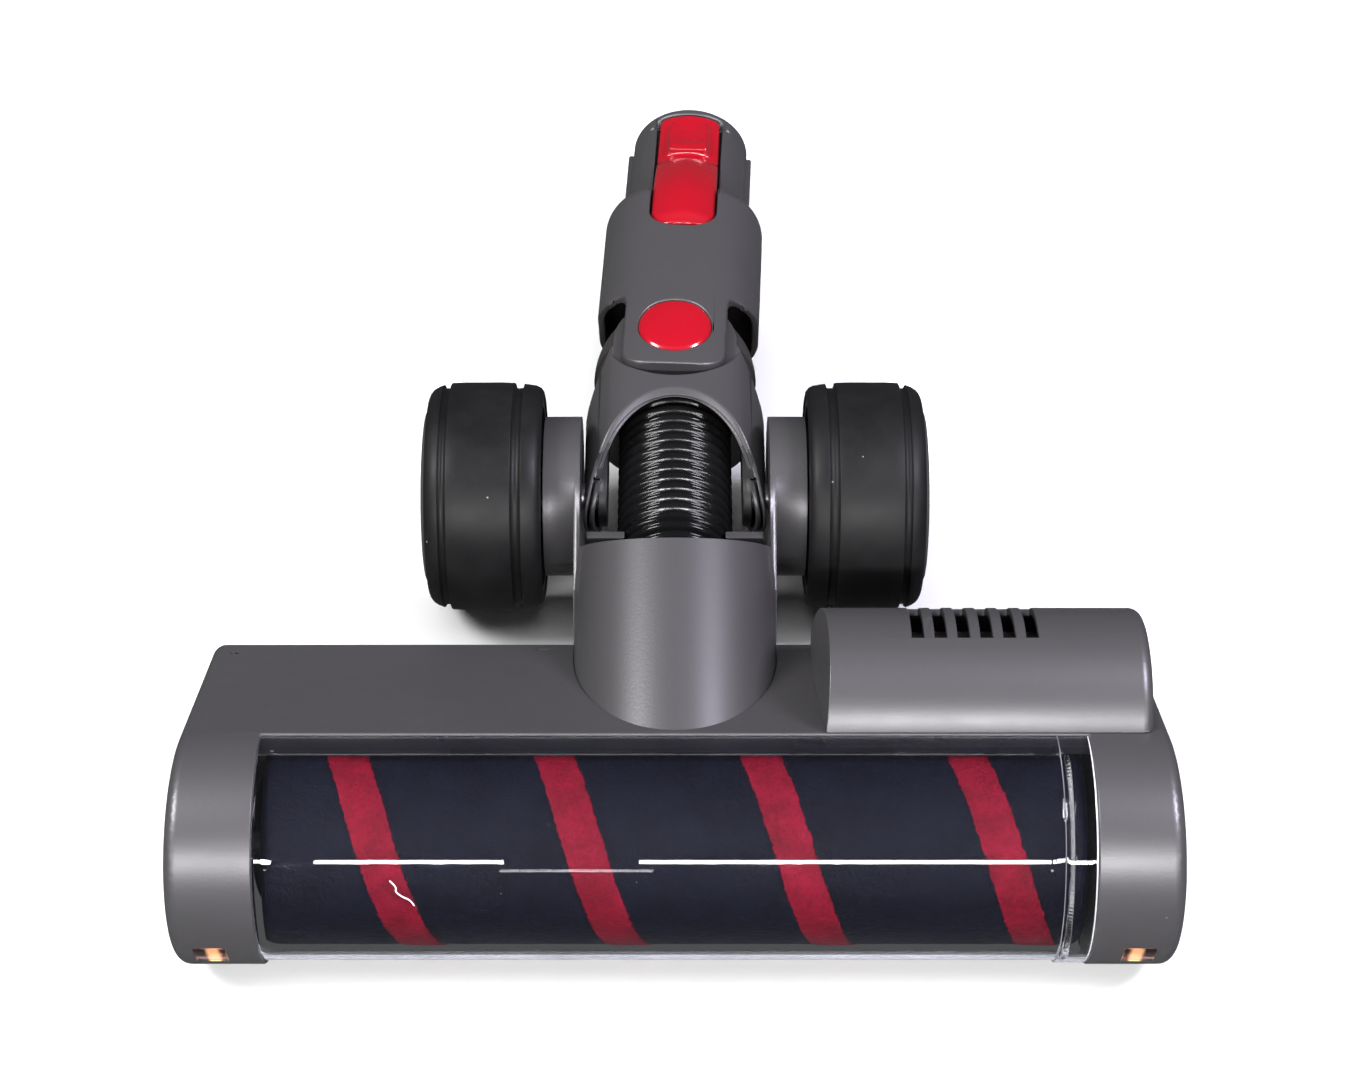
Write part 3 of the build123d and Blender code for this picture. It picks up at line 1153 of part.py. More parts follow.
# Swivel tube: tongues, shoulder, spigot with keys, seat of the catch
with BuildPart() as swivel_tube:
    cavity_end = TUBE_TO - SHOULDER_FILLET - TUBE_WALL
    seat_half = CATCH_W / 2 + MOVE_GAP
    with BuildSketch(NECK_SECTION.offset(TUBE_FROM)):
        tube_section(0)
    extrude(amount=TUBE_TO - TUBE_FROM)
    shoulder = swivel_tube.faces().sort_by(Axis.Y)[-1]
    fillet(shoulder.edges(), SHOULDER_FILLET)
    with BuildSketch(NECK_SECTION.offset(TUBE_FROM)):
        tube_section(-TUBE_WALL)
    extrude(amount=cavity_end - TUBE_FROM, mode=Mode.SUBTRACT)
    add(tongues.part)
    with BuildSketch(NECK_SECTION.offset(cavity_end)):
        Circle(SPIGOT_R)
    extrude(amount=SPIGOT_TO - cavity_end)
    with BuildSketch(NECK_SECTION.offset(cavity_end)):
        Rectangle(2 * (SPIGOT_R + KEY_PROUD), KEY_H)
    extrude(amount=TUBE_TO - cavity_end + KEY_L)
    # Box round the catch's pocket
    with BuildSketch(NECK_SECTION.offset(CATCH_FROM - CATCH_SWING - TROUGH_FLOOR)):
        box_top = TUBE_HALF - TUBE_WALL / 2
        box_bottom = POCKET_H - TROUGH_FLOOR
        with Locations((0, (box_top + box_bottom) / 2)):
            Rectangle(2 * (seat_half + TROUGH_FLOOR), box_top - box_bottom)
    extrude(amount=cavity_end - CATCH_FROM + CATCH_SWING + TROUGH_FLOOR)
    # Bore, set low to pass under the catch's trough
    with BuildSketch(NECK_SECTION.offset(cavity_end - TUBE_WALL)):
        with Locations((0, -BORE_DROP)):
            Circle(SPIGOT_BORE)
    extrude(amount=FAR, mode=Mode.SUBTRACT)
    with BuildSketch(NECK_PLAN.offset(POCKET_H)):
        with Locations((0, CATCH_FROM - CATCH_SWING + seat_half)):
            RectangleRounded(2 * seat_half, 2 * seat_half, CATCH_PAD_CORNER + MOVE_GAP)
        with Locations((0, (CATCH_FROM + seat_half + TUBE_TO) / 2)):
            Rectangle(2 * seat_half, TUBE_TO - CATCH_FROM - seat_half)
    extrude(amount=TUBE_HALF, mode=Mode.SUBTRACT)
    with BuildSketch(NECK_SECTION.offset(cavity_end)):
        with Locations((0, TROUGH_H + TUBE_HALF / 2)):
            Rectangle(2 * seat_half, TUBE_HALF)
    extrude(amount=CATCH_TO + MOVE_GAP - cavity_end, mode=Mode.SUBTRACT)
    with BuildSketch(NECK_SIDE):
        with Locations((CATCH_HINGE, CATCH_HINGE_H)):
            Circle(CATCH_PIN_R + RUN_GAP / 2)
    extrude(amount=SPIGOT_R, both=True, mode=Mode.SUBTRACT)
    # Swivel pin holes, cap recess and reliefs at the tongue's root
    with BuildSketch(NECK_PLAN):
        with Locations((0, SWIVEL_AT)):
            Circle(PIN_R + RUN_GAP)
    extrude(amount=TUBE_HALF, both=True, mode=Mode.SUBTRACT)
    with BuildSketch(NECK_PLAN.offset(TUBE_HALF - CAP_DEPTH)):
        with Locations((0, SWIVEL_AT)):
            Circle(CAP_R + SEAT_GAP)
    extrude(amount=TUBE_HALF, mode=Mode.SUBTRACT)
    with BuildSketch(NECK_PLAN):
        with Locations((-TONGUE_HALF - RELIEF_R, TUBE_FROM), (TONGUE_HALF + RELIEF_R, TUBE_FROM)):
            SlotCenterToCenter(2 * RELIEF_R, 2 * RELIEF_R, rotation=90)
    extrude(amount=TUBE_HALF, mode=Mode.SUBTRACT)
    # Sides cut back round the ball
    for _, sign in SIDES:
        with BuildSketch(NECK_SIDE.offset(sign * (TONGUE_HALF + RELIEF_R))):
            Polygon(
                (TUBE_FROM - SPARE, TUBE_HALF),
                (SIDE_CUT_TOP, TUBE_HALF),
                (SIDE_CUT_MID, 0),
                (SIDE_CUT_LOW, -TUBE_HALF),
                (TUBE_FROM - SPARE, -TUBE_HALF),
                align=None,
            )
        extrude(amount=sign * TUBE_HALF, mode=Mode.SUBTRACT)
    # Seat of the contact block
    with BuildSketch(NECK_SECTION.offset(cavity_end + SEAT_GAP)):
        with Locations((0, contact_h)):
            Rectangle(CONTACT_W + 2 * SEAT_GAP, CONTACT_H1 - CONTACT_H0 + 2 * SEAT_GAP)
    extrude(amount=SHOULDER_FILLET + TUBE_WALL, mode=Mode.SUBTRACT)
save_turned(swivel_tube, "swivel_tube")

# Pivot cap that follows the tongue's surface
with BuildPart() as pivot_cap:
    with BuildSketch(NECK_PLAN.offset(TUBE_HALF - CAP_DEPTH)):
        with Locations((0, SWIVEL_AT)):
            Circle(CAP_R)
    extrude(amount=TUBE_HALF)
    with BuildSketch(NECK_SECTION):
        tube_section(CAP_PROUD)
    extrude(amount=FAR, mode=Mode.INTERSECT)
save_turned(pivot_cap, "pivot_cap")

# Release catch: pad on the tube, lever in the trough, tooth near the mouth
with BuildPart() as release_catch:
    with BuildSketch(NECK_SIDE):
        Polygon(
            (CATCH_FROM, CATCH_PAD_UNDER),
            (CATCH_FROM, TUBE_HALF - CATCH_NOSE),
            (CATCH_FROM + CATCH_RISE, CATCH_PAD_TOP),
            (CATCH_FROM + CATCH_PAD_L, CATCH_PAD_TOP),
            (TOOTH_FROM - TOOTH_RUN - CATCH_STEP, CATCH_TOP + CATCH_STEP),
            (TOOTH_FROM - CATCH_STEP, CATCH_TOP),
            (CATCH_TO, CATCH_TOP),
            (CATCH_TO, CATCH_UNDER),
            (TUBE_TO + TUBE_WALL, CATCH_UNDER),
            (CATCH_FROM + CATCH_PAD_L + CATCH_STEP, CATCH_PAD_UNDER),
            align=None,
        )
    extrude(amount=CATCH_W / 2, both=True)
    with BuildSketch(NECK_PLAN):
        with Locations((0, (CATCH_FROM + CATCH_TO) / 2)):
            RectangleRounded(CATCH_W, CATCH_TO - CATCH_FROM, CATCH_CORNER)
        with Locations((0, CATCH_FROM + CATCH_W / 4)):
            Rectangle(CATCH_W, CATCH_W / 2, mode=Mode.SUBTRACT)
        with Locations((0, CATCH_FROM + CATCH_W / 2)):
            RectangleRounded(CATCH_W, CATCH_W, CATCH_PAD_CORNER)
    extrude(amount=2 * TUBE_HALF, mode=Mode.INTERSECT)
    with BuildSketch(NECK_SECTION.offset(TUBE_TO)):
        Rectangle(2 * CATCH_W, 4 * SPIGOT_R)
        Circle(CATCH_TOP, mode=Mode.SUBTRACT)
    extrude(amount=CATCH_TO - TUBE_TO, mode=Mode.SUBTRACT)
    with BuildSketch(NECK_SIDE):
        Polygon(
            (TOOTH_FROM, CATCH_UNDER + TOOTH_ROOT),
            (TOOTH_FROM, TOOTH_TOP),
            (TOOTH_FROM + TOOTH_RUN, TOOTH_TOP),
            (TOOTH_TO, CATCH_TOP),
            (TOOTH_TO, CATCH_UNDER + TOOTH_ROOT),
            align=None,
        )
    extrude(amount=TOOTH_W / 2, both=True)
    with BuildSketch(NECK_SIDE):
        with Locations((CATCH_HINGE, CATCH_HINGE_H)):
            Circle(CATCH_PIN_R + RUN_GAP)
    extrude(amount=CATCH_W, both=True, mode=Mode.SUBTRACT)
save_turned(release_catch, "release_catch")

# Hinge pin and leaf spring of the catch
with BuildPart() as catch_pin:
    with BuildSketch(NECK_SIDE):
        with Locations((CATCH_HINGE, CATCH_HINGE_H)):
            Circle(CATCH_PIN_R)
    extrude(amount=CATCH_PIN_HALF, both=True)
save_turned(catch_pin, "catch_pin")

with BuildPart() as catch_spring:
    spring_mid = CATCH_FROM + SPRING_AT
    spring_in = SPRING_HALF - SPRING_T
    spring_low = POCKET_H + SEAT_GAP
    spring_high = CATCH_PAD_UNDER - SEAT_GAP
    with BuildSketch(NECK_SIDE):
        with BuildLine():
            ThreePointArc(
                (spring_mid - SPRING_HALF, spring_low),
                (spring_mid, spring_high),
                (spring_mid + SPRING_HALF, spring_low),
            )
            Line((spring_mid + SPRING_HALF, spring_low), (spring_mid + spring_in, spring_low))
            ThreePointArc(
                (spring_mid + spring_in, spring_low),
                (spring_mid, spring_high - SPRING_T),
                (spring_mid - spring_in, spring_low),
            )
            Line((spring_mid - spring_in, spring_low), (spring_mid - SPRING_HALF, spring_low))
        make_face()
    extrude(amount=SPRING_W / 2, both=True)
save_turned(catch_spring, "catch_spring")

# Electrical connector under the spigot
with BuildPart() as contact_block:
    with BuildSketch(NECK_SECTION.offset(cavity_end + SEAT_GAP)):
        with Locations((0, contact_h)):
            Rectangle(CONTACT_W, CONTACT_H1 - CONTACT_H0)
    extrude(amount=CONTACT_TO - cavity_end)
    with BuildSketch(NECK_SECTION.offset(CONTACT_TO)):
        with Locations((-CONTACT_X, contact_h), (CONTACT_X, contact_h)):
            Circle(CONTACT_R + RUN_GAP / 2)
    extrude(amount=CONTACT_DEPTH, both=True, mode=Mode.SUBTRACT)
save_turned(contact_block, "contact_block")

with BuildPart() as contact_pins:
    with BuildSketch(NECK_SECTION.offset(CONTACT_TO - CONTACT_DEPTH)):
        with Locations((-CONTACT_X, contact_h), (CONTACT_X, contact_h)):
            Circle(CONTACT_R)
    extrude(amount=CONTACT_DEPTH + CONTACT_PROUD)
save_turned(contact_pins, "contact_pins")
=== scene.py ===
"""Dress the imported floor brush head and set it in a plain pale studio."""

from __future__ import annotations

import json
import logging
import math
from dataclasses import dataclass
from enum import Enum
from typing import Callable, Sequence

import bmesh
import bpy
from mathutils import Matrix, Vector, noise

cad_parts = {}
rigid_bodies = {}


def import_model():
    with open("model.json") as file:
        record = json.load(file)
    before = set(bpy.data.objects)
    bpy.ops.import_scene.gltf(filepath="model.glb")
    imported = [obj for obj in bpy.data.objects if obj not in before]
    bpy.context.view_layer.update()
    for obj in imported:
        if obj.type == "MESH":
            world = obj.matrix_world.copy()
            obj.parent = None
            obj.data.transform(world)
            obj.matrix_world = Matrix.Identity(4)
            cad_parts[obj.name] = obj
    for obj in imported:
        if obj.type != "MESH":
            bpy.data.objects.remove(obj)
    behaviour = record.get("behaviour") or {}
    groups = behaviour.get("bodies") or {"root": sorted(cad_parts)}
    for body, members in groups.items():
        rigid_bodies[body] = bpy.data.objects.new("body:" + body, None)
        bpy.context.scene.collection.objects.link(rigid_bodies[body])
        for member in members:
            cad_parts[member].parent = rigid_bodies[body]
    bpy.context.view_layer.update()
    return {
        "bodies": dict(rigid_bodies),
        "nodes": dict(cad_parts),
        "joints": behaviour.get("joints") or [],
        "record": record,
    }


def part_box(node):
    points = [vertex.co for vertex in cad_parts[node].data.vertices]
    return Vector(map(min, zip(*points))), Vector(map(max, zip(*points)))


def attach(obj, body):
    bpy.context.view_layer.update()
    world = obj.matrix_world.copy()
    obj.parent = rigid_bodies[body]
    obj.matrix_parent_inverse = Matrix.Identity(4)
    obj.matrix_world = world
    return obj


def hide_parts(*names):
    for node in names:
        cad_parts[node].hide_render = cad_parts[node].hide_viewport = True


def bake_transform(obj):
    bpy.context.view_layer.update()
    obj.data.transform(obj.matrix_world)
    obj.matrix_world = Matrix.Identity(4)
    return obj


LOG = logging.getLogger("floor_head")
MM = 0.001
WELD = 1e-6
TIGHT_WELD = 1e-7
Colour = tuple[float, float, float]
Point = tuple[float, float]
Node = bpy.types.Node
Outputs = bpy.types.NodeOutputs
ShaderTree = bpy.types.NodeTree
Socket = bpy.types.NodeSocket
Material = bpy.types.Material
Piece = bpy.types.Object
Mesh = bmesh.types.BMesh


class Side(Enum):
    """Left or right half of the head, with its sign along X."""

    LEFT = -1
    RIGHT = 1

    @property
    def word(self) -> str:
        """Name of the side as the CAD nodes spell it."""
        return self.name.lower()


@dataclass(frozen=True)
class HeadLayout:
    """Axes of the head that its pieces share, in millimetres and degrees."""

    roller_y: float = -113.269186
    roller_z: float = 26.55
    wheel_y: float = -4.269186
    wheel_z: float = 31.5
    neck_drop: float = 4.620303
    swivel_at: float = 44.5
    swivel_rest: float = -2.7

    def on_roller(self, x: float, radius: float, angle: float) -> Vector:
        """Place round the roller axis.

        Args:
            x: Distance along the axis, in mm.
            radius: Distance from the axis, in mm.
            angle: Degrees from +Y towards +Z.

        Returns:
            The place in metres.
        """
        turn = math.radians(angle)
        y = self.roller_y + radius * math.cos(turn)
        z = self.roller_z + radius * math.sin(turn)
        return Vector((x, y, z)) * MM

    def neck_frame(self) -> Matrix:
        """Matrix from neck axes, along X and up Z in metres, to the head's frame."""
        drop = math.radians(self.neck_drop)
        along = Vector((0, math.cos(drop), -math.sin(drop)))
        up = Vector((0, math.sin(drop), math.cos(drop)))
        across = up.cross(along)
        turn = Matrix((along, across, up)).transposed().to_4x4()
        return self.wheel_frame() @ turn

    def tube_frame(self) -> Matrix:
        """Matrix from neck axes to the head's frame, for what turns with the tube."""
        pivot = Matrix.Translation(Vector((self.swivel_at * MM, 0, 0)))
        turn = Matrix.Rotation(math.radians(self.swivel_rest), 4, "Z")
        return self.neck_frame() @ pivot @ turn @ pivot.inverted()

    def on_neck(self, along: float) -> Vector:
        """Place on the neck's axis, in metres, from a distance in mm."""
        return self.neck_frame() @ (Vector((along, 0, 0)) * MM)

    def wheel_frame(self) -> Matrix:
        """Matrix from wheel axes, with X along the axle, to the head's frame."""
        return Matrix.Translation(Vector((0, self.wheel_y, self.wheel_z)) * MM)


LAYOUT = HeadLayout()


class NodeTree:
    """Small helper that adds and links nodes in one shader tree."""

    def __init__(self, tree: ShaderTree) -> None:
        """Keep the tree of a material or group."""
        self.tree = tree

    def feed(self, node: Node, inputs: dict[str | int, object]) -> None:
        """Set or link inputs of a node.

        Args:
            node: Node to feed.
            inputs: Values, or output sockets to link, by input name or index.
        """
        for key, value in inputs.items():
            if isinstance(value, Socket):
                self.tree.links.new(value, node.inputs[key])
            else:
                node.inputs[key].default_value = value

    def add(
        self, kind: str, inputs: dict[str | int, object] | None = None, **fields: object
    ) -> Node:
        """Add a node, set its fields, and feed its inputs.

        Args:
            kind: Blender's node type.
            inputs: Values, or output sockets to link, by input name or index.
            **fields: Properties of the node.

        Returns:
            The new node.
        """
        made = self.tree.nodes.new(kind)
        for key, value in fields.items():
            setattr(made, key, value)
        self.feed(made, inputs or {})
        return made

    def group(self, shared: ShaderTree, **inputs: float) -> Outputs:
        """Add a shared group with these inputs and return its outputs."""
        return self.add("ShaderNodeGroup", inputs, node_tree=shared).outputs

    def place(self) -> Socket:
        """Add object coordinates and return their socket."""
        return self.add("ShaderNodeTexCoord").outputs["Object"]

    def mix(self, share: Socket, first: Socket | Colour, second: Socket | Colour) -> Socket:
        """Mix two colours.

        Args:
            share: Share of the second colour.
            first: First colour or its socket.
            second: Second colour or its socket.

        Returns:
            The mixed colour's socket.
        """
        ends = [end if isinstance(end, Socket) else (*end, 1) for end in (first, second)]
        made = self.add("ShaderNodeMix", data_type="RGBA")
        self.feed(made, {0: share, 6: ends[0], 7: ends[1]})
        return made.outputs[2]

    def math(self, operation: str, first: Socket, second: object = 0.0) -> Socket:
        """Add a math node and return its output socket."""
        return self.add("ShaderNodeMath", {0: first, 1: second}, operation=operation).outputs[0]

    def span(
        self, value: Socket, low: float, high: float, start: float = 0.0, end: float = 1.0
    ) -> Socket:
        """Map a value from low..high to start..end, clamped, and return its socket."""
        ends = {0: value, 1: low, 2: high, 3: start, 4: end}
        return self.add("ShaderNodeMapRange", ends).outputs[0]

    def noise(self, place: Socket, scale: Socket, detail: float, rough: float) -> Socket:
        """Add a noise texture and return its value socket."""
        inputs = {"Vector": place, "Scale": scale, "Detail": detail, "Roughness": rough}
        return self.add("ShaderNodeTexNoise", inputs).outputs[0]

    def bump(self, height: Socket, strength: float, distance: float) -> Socket:
        """Add a bump node and return its normal's socket."""
        inputs = {"Strength": strength, "Distance": distance, "Height": height}
        return self.add("ShaderNodeBump", inputs).outputs[0]


class Effects:
    """Shader node groups for what several finishes share."""

    CLEAN, MARKED = 0.35, 0.7
    FINE_SHARE, CELL_SHARE = 0.7, 0.3
    CLUMP_SCALE, CLUMP_SHARE = 0.16, 0.6
    DARK_TIPS, BRIGHT_TIPS = 0.75, 1.3

    def __init__(self) -> None:
        """Build each group once."""
        self.grain = self._grain()
        self.specks = self._specks()
        self.smudge = self._smudge()
        self.fibre = self._fibre()

    @staticmethod
    def _start(
        name: str, inputs: dict[str, float], outputs: Sequence[str]
    ) -> tuple[NodeTree, Outputs, Node]:
        """Begin a group with float sockets.

        Args:
            name: Name of the group.
            inputs: Input names with their defaults.
            outputs: Output names.

        Returns:
            The tree helper, the given inputs' sockets and the output node.
        """
        tree = bpy.data.node_groups.new(name, "ShaderNodeTree")
        kind = "NodeSocketFloat"
        for key, value in inputs.items():
            socket = tree.interface.new_socket(key, in_out="INPUT", socket_type=kind)
            socket.default_value = value
        for key in outputs:
            tree.interface.new_socket(key, in_out="OUTPUT", socket_type=kind)
        helper = NodeTree(tree)
        return helper, helper.add("NodeGroupInput").outputs, helper.add("NodeGroupOutput")

    def _grain(self) -> ShaderTree:
        """Fine spark-eroded grain of moulded plastic."""
        tree, given, out = self._start("moulded_grain", {"Scale": 1500.0}, ("Height", "Fleck"))
        place = tree.place()
        fine = tree.noise(place, given["Scale"], 2.0, 0.65)
        cells = tree.add("ShaderNodeTexVoronoi", {"Vector": place, "Scale": given["Scale"]})
        broad = tree.math("MULTIPLY", cells.outputs[0], self.CELL_SHARE)
        height = tree.math("ADD", tree.math("MULTIPLY", fine, self.FINE_SHARE), broad)
        tree.feed(out, {"Height": height, "Fleck": tree.span(fine, self.CLEAN, self.MARKED)})
        return tree.tree

    def _specks(self) -> ShaderTree:
        """Loose pale dust specks, few and small."""
        defaults = {"Scale": 240.0, "Amount": 0.1, "Radius": 0.07}
        tree, given, out = self._start("dust_specks", defaults, ("Mask",))
        inputs = {"Vector": tree.place(), "Scale": given["Scale"]}
        cells = tree.add("ShaderNodeTexVoronoi", inputs).outputs
        near = tree.math("LESS_THAN", cells["Distance"], given["Radius"])
        pick = tree.add("ShaderNodeSeparateColor", {0: cells["Color"]}).outputs[0]
        kept = tree.math("LESS_THAN", pick, given["Amount"])
        tree.feed(out, {"Mask": tree.math("MULTIPLY", near, kept)})
        return tree.tree

    def _smudge(self) -> ShaderTree:
        """Soft marks of handling, from clean 0 to marked 1."""
        tree, given, out = self._start("handling_smudge", {"Scale": 30.0}, ("Mask",))
        broad = tree.noise(tree.place(), given["Scale"], 4.0, 0.6)
        tree.feed(out, {"Mask": tree.span(broad, self.CLEAN, self.MARKED)})
        return tree.tree

    def _fibre(self) -> ShaderTree:
        """Short pile: clumped tips that catch light unevenly."""
        tree, given, out = self._start("pile_fibre", {"Scale": 900.0}, ("Height", "Shade"))
        place = tree.place()
        tips = tree.noise(place, given["Scale"], 4.0, 0.75)
        coarse = tree.math("MULTIPLY", given["Scale"], self.CLUMP_SCALE)
        clumps = tree.noise(place, coarse, 3.0, 0.6)
        lifted = tree.math("ADD", tips, tree.math("MULTIPLY", clumps, self.CLUMP_SHARE))
        both = tree.math("ADD", tips, clumps)
        shade = tree.span(both, self.DARK_TIPS, self.BRIGHT_TIPS)
        tree.feed(out, {"Height": lifted, "Shade": shade})
        return tree.tree


@dataclass(frozen=True)
class Finish:
    """A named finish with its main colour."""

    name: str
    colour: Colour

    def build(self, effects: Effects) -> Material:
        """Make the material.

        Args:
            effects: Shared node groups.

        Returns:
            The finished material.
        """
        material = bpy.data.materials.new(self.name)
        material.use_nodes = True
        tree = NodeTree(material.node_tree)
        self.fill(tree, material.node_tree.nodes["Principled BSDF"], effects)
        return material

    def fill(self, tree: NodeTree, shader: Node, effects: Effects) -> None:
        """Feed the shader, in each kind of finish in its own way."""
        raise NotImplementedError


@dataclass(frozen=True)
class Moulded(Finish):
    """Moulded plastic or rubber, with grain, handling marks and a little dust."""

    shade: Colour
    roughness: float
    spread: float = 0.05
    metallic: float = 0.0
    specular: float = 0.5
    grain: float = 1500.0
    depth: float = 0.04
    fleck: float = 0.35
    coat: float = 0.0
    coat_roughness: float = 0.1
    dust: float = 0.02
    dust_share: float = 0.35
    dust_colour: Colour = (0.5, 0.49, 0.48)
    smudge: float = 30.0

    def fill(self, tree: NodeTree, shader: Node, effects: Effects) -> None:
        """Feed the shader with grain, marks and dust."""
        grain = tree.group(effects.grain, Scale=self.grain)
        marks = tree.group(effects.smudge, Scale=self.smudge)["Mask"]
        specks = tree.group(effects.specks, Amount=self.dust)["Mask"]
        marked = tree.mix(marks, self.colour, self.shade)
        flecks = tree.math("MULTIPLY", grain["Fleck"], self.fleck)
        flecked = tree.mix(flecks, marked, self.shade)
        dust = tree.math("MULTIPLY", specks, self.dust_share)
        least, most = self.roughness - self.spread, self.roughness + self.spread
        tree.feed(shader, {
            "Base Color": tree.mix(dust, flecked, self.dust_colour),
            "Roughness": tree.span(marks, 0.0, 1.0, least, most),
            "Normal": tree.bump(grain["Height"], strength=self.depth, distance=0.0004),
            "Metallic": self.metallic,
            "Specular IOR Level": self.specular,
            "Coat Weight": self.coat,
            "Coat Roughness": self.coat_roughness,
        })


@dataclass(frozen=True)
class Clear(Finish):
    """Clear polished plastic that lets the light through to what it covers."""

    roughness: float
    spread: float = 0.03
    marked_from: float = 0.3
    shadow: Colour = (0.94, 0.95, 0.96)
    glow: float = 0.0
    glow_colour: Colour = (1.0, 0.5, 0.25)
    glow_mid: float = 0.0
    glow_half: float = 1.0
    glow_inside: float = 0.8
    glow_outside: float = 1.3

    def fill(self, tree: NodeTree, shader: Node, effects: Effects) -> None:
        """Feed the shader, with a lit patch if it glows and a pale shadow."""
        marks = tree.group(effects.smudge, Scale=55.0)["Mask"]
        most = self.roughness + self.spread
        tree.feed(shader, {
            "Roughness": tree.span(marks, self.marked_from, 1.0, self.roughness, most),
            "Base Color": (*self.colour, 1),
            "IOR": 1.49,
            "Transmission Weight": 1.0,
        })
        if self.glow:
            tree.feed(shader, {
                "Emission Strength": tree.math("MULTIPLY", self.spot(tree), self.glow),
                "Emission Color": (*self.glow_colour, 1),
            })
        see = tree.add("ShaderNodeBsdfTransparent", {0: (*self.shadow, 1)}).outputs[0]
        shaded = tree.add("ShaderNodeLightPath").outputs["Is Shadow Ray"]
        mixed = tree.add("ShaderNodeMixShader", {0: shaded, 1: shader.outputs[0], 2: see})
        tree.feed(tree.tree.nodes["Material Output"], {0: mixed.outputs[0]})

    def spot(self, tree: NodeTree) -> Socket:
        """Mask of the lit patch, as far to the left as to the right of the middle."""
        across = tree.add("ShaderNodeSeparateXYZ", {0: tree.place()}).outputs[0]
        out = tree.math("SUBTRACT", tree.math("ABSOLUTE", across), self.glow_mid * MM)
        low, high = self.glow_outside * self.glow_half * MM, self.glow_inside * self.glow_half * MM
        return tree.span(tree.math("ABSOLUTE", out), low, high)


@dataclass(frozen=True)
class Plush(Finish):
    """Short plush pile with a soft sheen at its tips."""

    tips: Colour
    sheen: Colour
    scale: float = 900.0
    specular: float = 0.06
    roughness: float = 0.5
    dust_share: float = 0.3
    dust_colour: Colour = (0.6, 0.58, 0.6)

    def fill(self, tree: NodeTree, shader: Node, effects: Effects) -> None:
        """Feed the shader with tufts, dust and sheen."""
        fibre = tree.group(effects.fibre, Scale=self.scale)
        specks = tree.group(effects.specks, Amount=0.03, Scale=420.0)["Mask"]
        tufted = tree.mix(fibre["Shade"], self.colour, self.tips)
        dust = tree.math("MULTIPLY", specks, self.dust_share)
        tree.feed(shader, {
            "Base Color": tree.mix(dust, tufted, self.dust_colour),
            "Normal": tree.bump(fibre["Height"], strength=0.7, distance=0.0005),
            "Roughness": self.roughness,
            "Specular IOR Level": self.specular,
            "Sheen Weight": 0.02,
            "Sheen Roughness": 0.45,
            "Sheen Tint": (*self.sheen, 1),
        })


@dataclass(frozen=True)
class Metal(Finish):
    """Plain machined or plated metal with faint dull marks."""

    roughness: float
    spread: float = 0.15
    dulled: float = 0.7

    def fill(self, tree: NodeTree, shader: Node, effects: Effects) -> None:
        """Feed the shader with dull marks."""
        marks = tree.group(effects.smudge, Scale=160.0)["Mask"]
        dull = tuple(self.dulled * part for part in self.colour)
        most = self.roughness + self.spread
        tree.feed(shader, {
            "Base Color": tree.mix(marks, self.colour, dull),
            "Roughness": tree.span(marks, 0.0, 1.0, self.roughness, most),
            "Metallic": 1.0,
        })


@dataclass(frozen=True)
class Lamp(Finish):
    """Small lamp chip that glows."""

    glow: float
    brighter: float = 1.25
    paler: float = 0.1

    def fill(self, tree: NodeTree, shader: Node, effects: Effects) -> None:
        """Feed the shader with an uneven glow."""
        marks = tree.group(effects.smudge, Scale=700.0)["Mask"]
        pale = tuple(min(1.0, part * self.brighter + self.paler) for part in self.colour)
        tint = tree.mix(marks, self.colour, pale)
        tree.feed(shader, {
            "Base Color": tint,
            "Emission Color": tint,
            "Emission Strength": self.glow,
            "Roughness": 0.4,
        })


